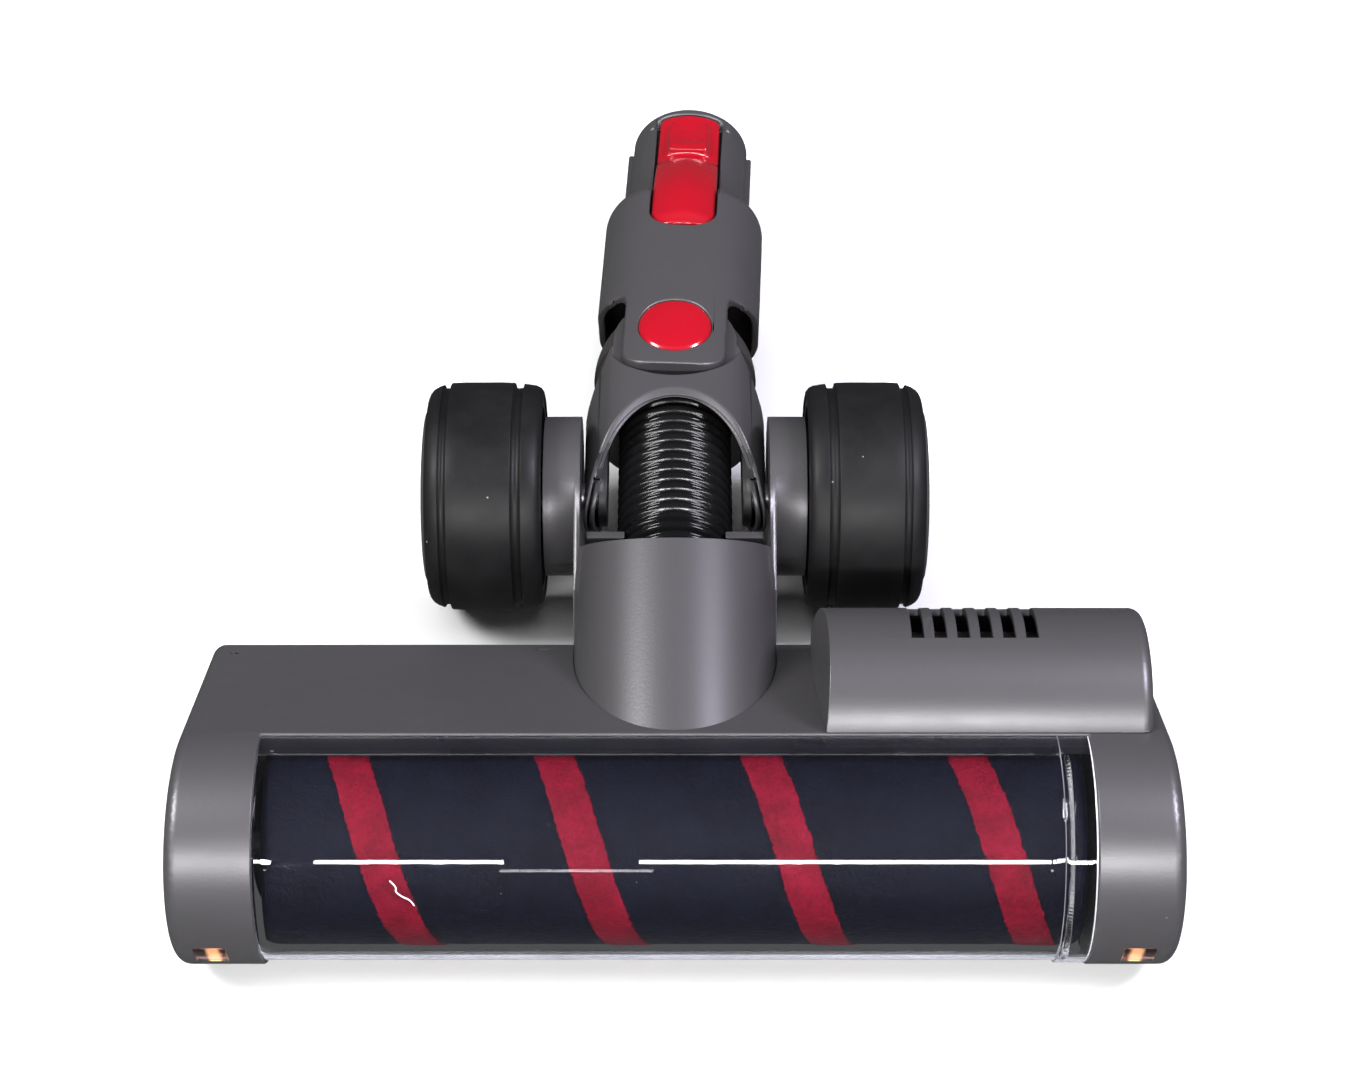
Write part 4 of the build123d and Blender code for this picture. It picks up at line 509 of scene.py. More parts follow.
class Finishes:
    """Every finish of the head, built once."""

    def __init__(self) -> None:
        """Build the shared effects and the materials."""
        effects = Effects()

        def make(kind: type[Finish], *values: object, **more: object) -> Material:
            """Build one finish."""
            return kind(*values, **more).build(effects)

        self.shell = make(
            Moulded, "satin_gunmetal", (0.11, 0.106, 0.112), (0.096, 0.0925, 0.098), 0.38,
            spread=0.03, metallic=0.6, depth=0.07,
        )
        self.black = make(
            Moulded, "matt_black", (0.012, 0.012, 0.013), (0.02, 0.02, 0.021), 0.5, dust=0.05
        )
        self.hose = make(
            Moulded, "glossy_hose", (0.004, 0.004, 0.0045), (0.007, 0.007, 0.0075), 0.17,
            spread=0.04, specular=0.3, depth=0.015,
        )
        self.tyre = make(
            Moulded, "tyre_rubber", (0.0045, 0.0045, 0.005), (0.008, 0.008, 0.0085), 0.5,
            spread=0.07, specular=0.24, depth=0.06, dust=0.1, smudge=60.0,
        )
        self.red = make(
            Moulded, "glossy_crimson", (0.34, 0.003, 0.012), (0.29, 0.0025, 0.01), 0.2,
            spread=0.03, depth=0.008, coat=0.6, coat_roughness=0.04, dust=0.01,
        )
        self.clear = make(Clear, "clear_window", (0.97, 0.98, 1.0), 0.0)
        # Painted highlight: pale finish that stands in for light caught on the window's lip and
        # right edge.
        self.rim = make(
            Moulded, "polished_rim", (0.7, 0.7, 0.73), (0.5, 0.5, 0.53), 0.2, depth=0.0, coat=0.6
        )
        # Painted highlight: grey finish that stands in for light caught on the window's step.
        self.step = make(
            Moulded, "clear_step", (0.2, 0.2, 0.23), (0.12, 0.12, 0.14), 0.15, depth=0.0, coat=0.6
        )
        self.lens = make(
            Clear, "lamp_lens", (0.92, 0.62, 0.56), 0.05, glow=0.5, glow_mid=115.4, glow_half=1.45
        )
        self.navy = make(
            Plush, "navy_plush", (0.0006, 0.0007, 0.0026), (0.0018, 0.002, 0.006), (0.25, 0.3, 0.5)
        )
        self.crimson = make(
            Plush, "crimson_plush", (0.05, 0.0004, 0.0036), (0.105, 0.0014, 0.0092), (1.0, 0.2, 0.3)
        )
        self.felt = make(
            Plush, "grey_felt", (0.03, 0.03, 0.032), (0.07, 0.07, 0.072), (0.5, 0.5, 0.5),
            scale=600.0, specular=0.15, roughness=0.95,
        )
        self.steel = make(Metal, "plain_steel", (0.55, 0.55, 0.57), 0.3)
        self.brass = make(Metal, "bush_brass", (0.7, 0.5, 0.22), 0.3)
        self.aluminium = make(Metal, "tube_aluminium", (0.7, 0.7, 0.72), 0.35)
        self.joint = make(
            Moulded, "joint_black", (0.024, 0.022, 0.021), (0.034, 0.031, 0.03), 0.42, dust=0.05
        )
        self.ledge = make(
            Moulded, "dark_ledge", (0.004, 0.0039, 0.006), (0.007, 0.0065, 0.009), 0.3
        )
        self.board = make(Moulded, "board_green", (0.01, 0.09, 0.03), (0.012, 0.07, 0.028), 0.4)
        self.lamp = make(Lamp, "amber_lamp", (1.0, 0.42, 0.12), 4.0)
        self.lint = make(Moulded, "pale_lint", (0.8, 0.76, 0.76), (0.7, 0.66, 0.66), 0.8)
        self.floor = make(
            Moulded, "pale_floor", (0.86, 0.86, 0.86), (0.84, 0.84, 0.84), 0.7, dust=0.0
        )


def new_piece(name: str, bm: Mesh, material: Material) -> Piece:
    """Turn a bmesh into a smooth-shaded object.

    Args:
        name: Name of the piece.
        bm: Finished mesh, freed here.
        material: Its finish.

    Returns:
        The new object, at the origin.
    """
    mesh = bpy.data.meshes.new(name)
    bm.to_mesh(mesh)
    bm.free()
    mesh.materials.append(material)
    mesh.shade_smooth()
    made = bpy.data.objects.new(name, mesh)
    bpy.context.scene.collection.objects.link(made)
    return made


class Bench:
    """Where meshes become pieces that ride on the CAD bodies."""

    SEAM = 2e-6
    FLAT_ANGLE = math.radians(0.4)
    NORMAL_WEIGHT = 60

    def __init__(self, frame: dict, finishes: Finishes) -> None:
        """Keep the frame and the finishes.

        Args:
            finishes: The head's materials.
        """
        record = frame["record"]
        bodies = record["behaviour"]["bodies"]
        self.nodes: dict[str, Piece] = frame["nodes"]
        self.body_of = {node: body for body, members in bodies.items() for node in members}
        self.slot_of = {part["node"]: part["material_slot"] for part in record["subparts"]}
        self.finishes = finishes

    def stand_in(self, node: str, name: str, bm: Mesh, material: Material) -> Piece:
        """Make a piece that rides on a node's body and stands for that node.

        Args:
            node: CAD node that it replaces.
            name: Name of the piece.
            bm: Finished mesh, freed here.
            material: Its finish.

        Returns:
            The new piece.
        """
        made = new_piece(name, bm, material)
        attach(made, self.body_of[node])
        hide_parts(node)
        LOG.info("%s stands for %s", made.name, node)
        return made

    def dress(self, material: Material, *nodes: str) -> None:
        """Give CAD nodes that keep their own mesh a better material."""
        for node in nodes:
            mesh = self.nodes[node].data
            mesh.materials.clear()
            mesh.materials.append(material)
            LOG.info("%s keeps its CAD shape", node)

    def rounded(
        self,
        node: str,
        name: str,
        material: Material,
        edge: float,
        segments: int = 2,
        reshape: Callable[[Mesh], None] | None = None,
        beside: str | None = None,
    ) -> Piece:
        """Copy a CAD node, round its sharp edges, and let the copy stand for it.

        Args:
            node: CAD node to copy.
            name: Name of the piece.
            material: Its finish.
            edge: Width of the rounding in mm.
            segments: Steps across the rounding.
            reshape: Change to the mesh before the rounding.
            beside: Node beside which the edges stay sharp.

        Returns:
            The new piece.
        """
        bm = bmesh.new()
        bm.from_mesh(self.nodes[node].data)
        bmesh.ops.remove_doubles(bm, verts=bm.verts, dist=self.SEAM)
        bmesh.ops.dissolve_limit(
            bm, angle_limit=self.FLAT_ANGLE, use_dissolve_boundaries=False,
            verts=bm.verts, edges=bm.edges,
        )
        bmesh.ops.triangulate(bm, faces=[face for face in bm.faces if len(face.verts) > 4])
        if reshape:
            reshape(bm)
        round_edges(bm, edge, segments, kept=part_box(beside) if beside else None)
        made = self.stand_in(node, name, bm, material)
        normals = made.modifiers.new("even_normals", "WEIGHTED_NORMAL")
        normals.keep_sharp = False
        normals.weight = self.NORMAL_WEIGHT
        return made

    @staticmethod
    def repaint(made: Piece, material: Material, where: Callable[[Vector], bool]) -> None:
        """Give some faces of a piece a second finish.

        Args:
            made: Finished piece.
            material: The second finish.
            where: Rule for the middle of a face.
        """
        slot = len(made.data.materials)
        made.data.materials.append(material)
        for face in made.data.polygons:
            if where(face.center):
                face.material_index = slot


def round_edges(
    bm: Mesh,
    edge: float,
    segments: int,
    sharp: float = 30.0,
    kept: tuple[Sequence[float], Sequence[float]] | None = None,
) -> None:
    """Bevel the sharp outer edges of a mesh.

    Args:
        bm: Mesh to change.
        edge: Width of the rounding in mm.
        segments: Steps across the rounding.
        sharp: Least angle of an edge that is rounded, in degrees.
        kept: Corners of a box in and beside which edges stay sharp.
    """
    least = math.radians(sharp)
    tiny, near = 0.09 * MM, 3.0 * MM

    def stays(vert: bmesh.types.BMVert) -> bool:
        """Whether a point lies in or beside the box."""
        sides = zip(kept[0], vert.co, kept[1]) if kept else ()
        return bool(kept) and all(low - near < at < high + near for low, at, high in sides)

    def turns(line: bmesh.types.BMEdge) -> bool:
        """Whether an edge is an outer one that is sharp enough."""
        return len(line.link_faces) == 2 and line.is_convex and line.calc_face_angle(0.0) > least

    bmesh.ops.remove_doubles(bm, verts=bm.verts, dist=tiny)
    edges = [line for line in bm.edges if turns(line) and not any(map(stays, line.verts))]
    bmesh.ops.bevel(
        bm, geom=edges, offset=edge * MM, offset_type="OFFSET", segments=segments, profile=0.5,
        affect="EDGES", clamp_overlap=False, material=-1,
    )


def spun(profile: Sequence[Point], frame: Matrix, steps: int, closed: bool = True) -> Mesh:
    """Spin a profile round the X axis of a frame.

    Args:
        profile: Points along the axis and out from it, in mm.
        frame: Matrix from the spin's axes to the head's frame.
        steps: Segments of the full turn.
        closed: Whether the last point joins the first.

    Returns:
        The spun mesh.
    """
    bm = bmesh.new()
    verts = [bm.verts.new(Vector((along, 0, out)) * MM) for along, out in profile]
    pairs = zip(verts, verts[1:] + verts[:1]) if closed else zip(verts, verts[1:])
    edges = [bm.edges.new(pair) for pair in pairs]
    bmesh.ops.spin(
        bm, geom=[*verts, *edges], cent=(0, 0, 0), axis=(1, 0, 0), angle=math.tau, steps=steps,
        use_merge=True,
    )
    bmesh.ops.remove_doubles(bm, verts=bm.verts, dist=TIGHT_WELD)
    bmesh.ops.recalc_face_normals(bm, faces=bm.faces)
    bmesh.ops.transform(bm, matrix=frame, verts=bm.verts)
    return bm


def mapped_grid(columns: int, rows: int, place: Callable[[int, int], Vector]) -> Mesh:
    """Make a grid and put each of its points where a rule says.

    Args:
        columns: Points along the first way.
        rows: Points along the second way.
        place: Rule from column and row to a place in metres.

    Returns:
        The mapped mesh.
    """
    bm = bmesh.new()
    bmesh.ops.create_grid(bm, x_segments=columns - 1, y_segments=rows - 1, size=1.0)
    for vert in bm.verts:
        column = round((vert.co.x + 1) / 2 * (columns - 1))
        row = round((vert.co.y + 1) / 2 * (rows - 1))
        vert.co = place(column, row)
    return bm


def extruded_rim(bm: Mesh) -> tuple[list[bmesh.types.BMVert], list[bmesh.types.BMEdge]]:
    """Extrude a sheet's open border in place.

    Args:
        bm: Open sheet.

    Returns:
        The new points, to be moved, and the new edges.
    """
    rim = [edge for edge in bm.edges if edge.is_boundary]
    made = bmesh.ops.extrude_edge_only(bm, edges=rim)["geom"]
    verts = [item for item in made if isinstance(item, bmesh.types.BMVert)]
    return verts, [item for item in made if isinstance(item, bmesh.types.BMEdge)]


def face_outward(bm: Mesh) -> None:
    """Turn a sheet round the roller so that its faces look away from the axis."""
    bmesh.ops.recalc_face_normals(bm, faces=bm.faces)
    face = next(iter(bm.faces))
    middle = face.calc_center_median()
    if face.normal.dot(middle - LAYOUT.on_roller(middle.x / MM, 0, 0)) < 0:
        bmesh.ops.reverse_faces(bm, faces=bm.faces)


def knots(stops: Sequence[tuple[float, int]]) -> list[float]:
    """Spread points between stops.

    Args:
        stops: Each stop with the number of steps that lead to it.

    Returns:
        All the points, stops included.
    """
    made = [stops[0][0]]
    for (low, _), (high, count) in zip(stops, stops[1:]):
        made.extend(low + (high - low) * (step + 1) / count for step in range(count))
    return made


def clamp(value: float) -> float:
    """Keep a value between 0 and 1."""
    return max(0.0, min(1.0, value))


def ease(value: float, low: float, high: float) -> float:
    """Smooth step from 0 at low to 1 at high."""
    share = clamp((value - low) / (high - low))
    return share * share * (3 - 2 * share)


def waver(first: float, second: float, scale: Sequence[float]) -> float:
    """Noise at two values, scaled by the first two numbers, with the third as seed."""
    return noise.noise(Vector((first * scale[0], second * scale[1], scale[2])))


@dataclass
class RollerHousing:
    """Grey housing, clear window, motor cover and lights."""

    window_radius: float = 30.0
    window_wall: float = 2.0
    window_half: float = 103.7
    window_from: float = 62.19
    window_to: float = 215.0
    window_step: float = 0.6
    flange: float = 13.4
    bend_half: float = 0.5
    band: float = 8.0
    step_run: float = 0.3
    step_half: float = 0.15
    rim_reach: float = 0.55
    lip_from: float = 199.0
    ledge_short: float = 0.4
    cover_back: float = 34.1
    cover_rise: float = 11.95
    vents_from: float = 55.0
    vents_to: float = 97.0
    vent_under: float = 23.15
    vent_over: float = 24.6

    def build(self, bench: Bench) -> None:
        """Build the housing's pieces."""
        looks = bench.finishes
        bench.rounded(
            "upper_shell", "housing_top", looks.shell, edge=0.4, segments=3, beside="motor_shaft"
        )
        cover = bench.rounded(
            "motor_cover", "vented_motor_cover", looks.shell, edge=0.3, segments=3
        )
        # Painted shade: the slot walls get the black finish so that the vents look dark.
        bench.repaint(cover, looks.black, self.in_vent)
        bench.rounded("sole_plate", "floor_plate", looks.black, edge=0.4)
        self.window(bench)
        for side in Side:
            bench.dress(looks.lens, f"led_lens_{side.word}")
            bench.dress(looks.board, f"led_board_{side.word}")
            bench.dress(looks.brass, f"roller_bearing_{side.word}")
        bench.dress(looks.lamp, "led_chips")
        bench.dress(looks.felt, "felt_strip")
        bench.dress(looks.board, "control_board")
        bench.dress(looks.steel, "sole_screws", "drive_motor", "motor_shaft")
        bench.dress(looks.black, "drive_belt", "motor_pulley", "suction_duct")

    def window(self, bench: Bench) -> None:
        """Build the clear cover: stepped rear flange, band at the right end."""
        half, run = self.window_half, self.step_run
        bend = self.window_from + self.flange
        flat_to, round_from = bend - self.bend_half, bend + self.bend_half
        step_x = half - self.band
        angles = knots([(self.window_from, 0), (flat_to, 8), (round_from, 3), (self.window_to, 64)])
        spots = knots([(-half, 0), (step_x - run, 40), (step_x + run, 3), (half, 6)])

        def place(column: int, row: int) -> Vector:
            """Place of one point of the outer face."""
            x, angle = spots[column], angles[row]
            raised = max(clamp(round_from - angle), clamp((x - step_x + run) / (2 * run)))
            return LAYOUT.on_roller(x, self.window_radius + self.window_step * raised, angle)

        bm = mapped_grid(len(spots), len(angles), place)
        face_outward(bm)
        bmesh.ops.solidify(bm, geom=bm.faces, thickness=self.window_wall * MM)
        bmesh.ops.recalc_face_normals(bm, faces=bm.faces)
        round_edges(bm, edge=0.5, segments=3, sharp=50.0)
        made = bench.stand_in("window", "clear_roller_window", bm, bench.finishes.clear)
        # Painted highlight: the lip and the right edge get a pale finish in place of lit clear
        # edges.
        bench.repaint(made, bench.finishes.rim, self.on_rim)
        # Painted highlight: the step gets a grey finish in place of a lit clear edge.
        bench.repaint(made, bench.finishes.step, self.on_step)
        bench.repaint(made, bench.finishes.ledge, self.on_ledge)

    def polar(self, place: Vector) -> tuple[float, float]:
        """Angle in degrees and distance in mm of a place from the roller's axis."""
        back, up = place.y / MM - LAYOUT.roller_y, place.z / MM - LAYOUT.roller_z
        return math.degrees(math.atan2(up, back)) % 360.0, math.hypot(back, up)

    def in_vent(self, place: Vector) -> bool:
        """Whether a place lies on a wall of one of the motor cover's slots, painted black as shade.
        """
        back = place.y / MM - LAYOUT.roller_y - self.cover_back
        up = place.z / MM - LAYOUT.roller_z - self.cover_rise
        in_wall = self.vent_under < math.hypot(back, up) < self.vent_over
        return in_wall and self.vents_from < place.x / MM < self.vents_to

    def on_rim(self, place: Vector) -> bool:
        """Whether a place lies on the window's lip or right edge, which are painted pale as
        highlight lines.
        """
        angle, out = self.polar(place)
        at_end = place.x / MM > self.window_half - self.rim_reach
        outside = out > self.window_radius + self.window_step - self.rim_reach
        return angle > self.lip_from or (at_end and outside)

    def on_step(self, place: Vector) -> bool:
        """Whether a place lies on the step before the band at the right end, painted grey as a
        highlight line.
        """
        return abs(place.x / MM - self.window_half + self.band) < self.step_half

    def on_ledge(self, place: Vector) -> bool:
        """Whether a place lies on the flange's dark underside."""
        angle, out = self.polar(place)
        inside = out < self.window_radius + self.window_step - self.window_wall / 2
        return inside and angle < self.window_from + self.flange - self.ledge_short


@dataclass
class BrushRoller:
    """Plush sleeve with its helical stripe and a lint thread."""

    radius: float = 26.14
    bore: float = 15.6
    half: float = 101.8
    tuft_along: float = 0.8
    tuft_round: float = 22.0
    tuft_depth: float = 0.22
    wave_scale: float = 0.3
    wave_depth: float = 0.1
    lip_run: float = 2.0
    lip_drop: float = 1.2
    stripe_lead: float = 51.5
    stripe_width: float = 11.0
    stripe_x: float = -83.0
    stripe_angle: float = 62.0
    stripe_inset: float = 0.4
    stripe_seat: float = 0.03
    stripe_rise: float = 0.28
    fray: float = 0.5
    fine_fray: tuple[float, ...] = (0.83, 3.0, 0.5)
    long_fray: tuple[float, ...] = (0.13, 1.0, 2.5)
    tip_noise: tuple[float, ...] = (0.4, 0.9, 4.0)
    lint_thick: float = 0.16
    lint_lift: float = 0.45
    lint_path: tuple[Point, ...] = (
        (-70.2, 143.0), (-68.4, 146.5), (-69.0, 149.0),
        (-67.0, 152.5), (-65.2, 154.0), (-64.4, 157.5),
    )

    def build(self, bench: Bench) -> None:
        """Build the roller's pieces."""
        self.pile(bench)
        self.stripe(bench)
        self.lint(bench)
        bench.dress(bench.finishes.aluminium, "roller_core")
        bench.dress(bench.finishes.black, "roller_pulley", "roller_end_left", "roller_end_right")

    def pile(self, bench: Bench) -> None:
        """Build the plush sleeve with uneven tips."""
        columns, rows = 251, 193

        def place(column: int, row: int) -> Vector:
            """Place of one point of the pile's outer face."""
            x = -self.half + 2 * self.half * (column / (columns - 1))
            angle = 360.0 * row / (rows - 1)
            turn = math.radians(angle % 360.0)
            y, z = self.tuft_round * math.cos(turn), self.tuft_round * math.sin(turn)
            spot = Vector((x * self.tuft_along, y, z))
            sink = self.tuft_depth * (0.5 + 0.5 * noise.noise(spot))
            sink += self.wave_depth * (0.5 + 0.5 * noise.noise(spot * self.wave_scale))
            lip = max(0.0, 1.0 - min(x + self.half, self.half - x) / self.lip_run)
            return LAYOUT.on_roller(x, self.radius - sink - self.lip_drop * lip * lip, angle)

        bm = mapped_grid(columns, rows, place)
        bmesh.ops.remove_doubles(bm, verts=bm.verts, dist=WELD)
        for vert in extruded_rim(bm)[0]:
            axis = LAYOUT.on_roller(vert.co.x / MM, 0, 0)
            vert.co = axis + (vert.co - axis).normalized() * self.bore * MM
        bmesh.ops.recalc_face_normals(bm, faces=bm.faces)
        bench.stand_in("roller_pile", "plush_sleeve", bm, bench.finishes.navy)

    def stripe(self, bench: Bench) -> None:
        """Build the crimson stripe with fuzzy borders."""
        low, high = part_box("roller_stripe")
        first = low.x / MM + self.stripe_width / 2
        last = high.x / MM - self.stripe_width / 2
        columns, rows = 1500, 15

        def place(column: int, row: int) -> Vector:
            """Place of one point of the stripe."""
            middle = first + (last - first) * column / (columns - 1)
            angle = self.stripe_angle + (middle - self.stripe_x) / self.stripe_lead * 360.0
            across = row / (rows - 1) * 2 - 1
            ragged = waver(column, across, self.fine_fray)
            ragged += 0.5 * waver(column, across, self.long_fray)
            reach = self.stripe_width / 2 - self.stripe_inset
            frayed = across * (reach + self.fray * ragged * abs(across) ** 6)
            tip = 0.5 + 0.5 * waver(column, row, self.tip_noise)
            rise = self.stripe_rise * (1 - abs(across) ** 4) * (0.5 + 0.5 * tip)
            return LAYOUT.on_roller(middle + frayed, self.radius - self.stripe_seat + rise, angle)

        bm = mapped_grid(columns, rows, place)
        face_outward(bm)
        bench.stand_in("roller_stripe", "plush_stripe", bm, bench.finishes.crimson)

    def lint(self, bench: Bench) -> None:
        """Lay a short pale lint thread on the pile, where the photograph shows one."""
        curve = bpy.data.curves.new("lint_line", "CURVE")
        curve.dimensions = "3D"
        curve.bevel_depth = self.lint_thick * MM
        curve.bevel_resolution = 2
        line = curve.splines.new("NURBS")
        line.points.add(len(self.lint_path) - 1)
        for point, (x, angle) in zip(line.points, self.lint_path):
            point.co = (*LAYOUT.on_roller(x, self.radius + self.lint_lift, angle), 1)
        line.order_u = 3
        line.use_endpoint_u = True
        holder = bpy.data.objects.new("lint_holder", curve)
        mesh = bpy.data.meshes.new_from_object(holder)
        bpy.data.objects.remove(holder)
        bm = bmesh.new()
        bm.from_mesh(mesh)
        made = new_piece("lint_thread", bm, bench.finishes.lint)
        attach(made, "roller")
        LOG.info("lint_thread lies on the pile")


@dataclass
class RollingWheel:
    """One tyre with its rim and hub cap.

    The profiles are distances in from the tyre's edge and down from its top, or
    for the cap out from the tyre's outer edge and down from the cap's rim, in mm.
    """

    side: Side
    inner: float = 36.0
    width: float = 31.5
    radius: float = 31.5
    wall: float = 4.0
    cap_inset: float = 2.6
    cap_back: float = -2.9
    cap_crown: float = 1.4
    inner_tread: tuple[Point, ...] = (
        (0.0, 4.0), (0.0, 3.6), (0.25, 2.4), (0.9, 1.5), (2.2, 0.85), (5.5, 0.35),
        (5.5, 1.6), (8.0, 1.6), (8.0, 0.12), (11.5, 0.0),
    )
    outer_tread: tuple[Point, ...] = (
        (9.5, 0.0), (6.0, 0.15), (6.0, 1.6), (4.0, 1.6), (4.0, 0.65),
        (2.4, 1.25), (1.2, 2.0), (0.45, 2.9), (0.1, 3.7), (0.0, 4.0),
    )
    cap_dome: tuple[Point, ...] = (
        (-2.9, 0.0), (-0.4, 0.0), (0.5, 0.5), (1.0, 1.6), (1.2, 4.0), (1.35, 10.0)
    )

    def build(self, bench: Bench) -> None:
        """Build the wheel's pieces."""
        self.tyre(bench)
        self.cap(bench)
        bench.dress(bench.finishes.black, f"wheel_rim_{self.side.word}")
        bench.dress(bench.finishes.steel, f"axle_pin_{self.side.word}")

    def turned(self, profile: Sequence[Point], steps: int, closed: bool = True) -> Mesh:
        """Spin a profile round the axle on this side of the head."""
        placed = [(self.side.value * x, out) for x, out in profile]
        return spun(placed, LAYOUT.wheel_frame(), steps, closed)

    def tyre(self, bench: Bench) -> None:
        """Build the rubber tyre with its two grooves."""
        edge, top = self.inner + self.width, self.radius
        profile = [(self.inner + along, top - down) for along, down in self.inner_tread]
        profile += [(edge - along, top - down) for along, down in self.outer_tread]
        bm = self.turned(profile, steps=120)
        round_edges(bm, edge=0.3, segments=3, sharp=50.0)
        name = f"tyre_{self.side.word}"
        bench.stand_in(name, f"grooved_{name}", bm, bench.finishes.tyre)

    def cap(self, bench: Bench) -> None:
        """Build the gently domed wheel face."""
        edge = self.inner + self.width
        rim = self.radius - self.wall - self.cap_inset
        dome = [(edge + along, rim - down) for along, down in self.cap_dome]
        profile = [(edge + self.cap_back, 0.0), *dome, (edge + self.cap_crown, 0.0)]
        bm = self.turned(profile, steps=96, closed=False)
        name = f"hub_cap_{self.side.word}"
        bench.stand_in(name, f"domed_{name}", bm, bench.finishes.shell)


@dataclass
class NeckJoint:
    """Tunnel, yoke, hose and swivel."""

    hose_radius: float = 15.8
    hose_valley: float = 14.1
    hose_bore: float = 12.6
    hose_pitch: float = 3.72
    hose_from: float = -35.9
    hose_to: float = 26.9
    hose_crest: float = 0.7
    bend_from: float = -22.0
    bend_to: float = 19.0
    crown_from: float = 12.0
    crown_full: float = 18.0
    crown_to: float = 26.3
    crown_sink: float = 3.2
    crown_half: float = 19.0
    crown_fall: float = 1.5
    pad_top: float = 17.6
    leg_near: float = 18.3
    leg_far: float = 21.4
    leg_to: float = 26.8
    leg_top: float = 14.0

    def build(self, bench: Bench) -> None:
        """Build the neck's pieces."""
        looks = bench.finishes
        bench.rounded("neck_housing", "neck_tunnel", looks.shell, edge=0.05, segments=1)
        bench.rounded("hose_collar", "hose_ledge", looks.shell, edge=0.4)
        yoke = bench.rounded(
            "yoke", "neck_yoke", looks.shell, edge=0.45, segments=3, reshape=self.saddle
        )
        # Painted shade: the inner legs beside the hose get the black finish so that they look dark.
        bench.repaint(yoke, looks.black, self.on_inner_leg)
        bench.rounded("swivel_ball", "swivel_joint", looks.joint, edge=0.3)
        bench.dress(looks.black, "hose_cuff")
        bench.dress(looks.steel, "swivel_pins")
        self.hose(bench)

    def saddle(self, bm: Mesh) -> None:
        """Sink the middle of the yoke's crown, so that the tongue stands proud of it."""
        frame = LAYOUT.neck_frame()
        for vert in bm.verts:
            along, across, up = (frame.inverted() @ vert.co) / MM
            share = ease(up, self.crown_from, self.crown_full)
            if along >= self.crown_to:
                share = float(up > self.pad_top)
            bowl = max(0.0, 1.0 - (across / self.crown_half) ** 2) ** self.crown_fall
            sunk = share * self.crown_sink * bowl
            vert.co = frame @ (Vector((along, across, up - sunk)) * MM)

    def on_inner_leg(self, place: Vector) -> bool:
        """Whether a place lies on one of the legs beside the hose, painted black as shade."""
        along, across, up = (LAYOUT.neck_frame().inverted() @ place) / MM
        on_leg = self.leg_near < abs(across) < self.leg_far
        return on_leg and along < self.leg_to and up < self.leg_top

    def hose(self, bench: Bench) -> None:
        """Build the bellows hose along the neck's axis."""
        length = self.hose_to - self.hose_from
        crests = int(length / self.hose_pitch)
        lead_in = (length - crests * self.hose_pitch) / 2
        steps = 10
        profile = [(self.hose_from, self.hose_bore), (self.hose_from, self.hose_valley)]
        for index in range(crests * steps + 1):
            wave = 0.5 - 0.5 * math.cos(math.tau * index / steps)
            out = self.hose_valley + (self.hose_radius - self.hose_valley) * wave**self.hose_crest
            profile.append((self.hose_from + lead_in + self.hose_pitch * index / steps, out))
        profile += [(self.hose_to, self.hose_valley), (self.hose_to, self.hose_bore)]
        bm = spun(profile, LAYOUT.neck_frame(), steps=72)
        made = new_piece("bellows_hose", bm, bench.finishes.hose)
        start, end = LAYOUT.on_neck(self.bend_from), LAYOUT.on_neck(self.bend_to)
        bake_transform(made)
        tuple(start)
        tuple(end)
        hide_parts("hose")
        LOG.info("bellows_hose bends with the neck")


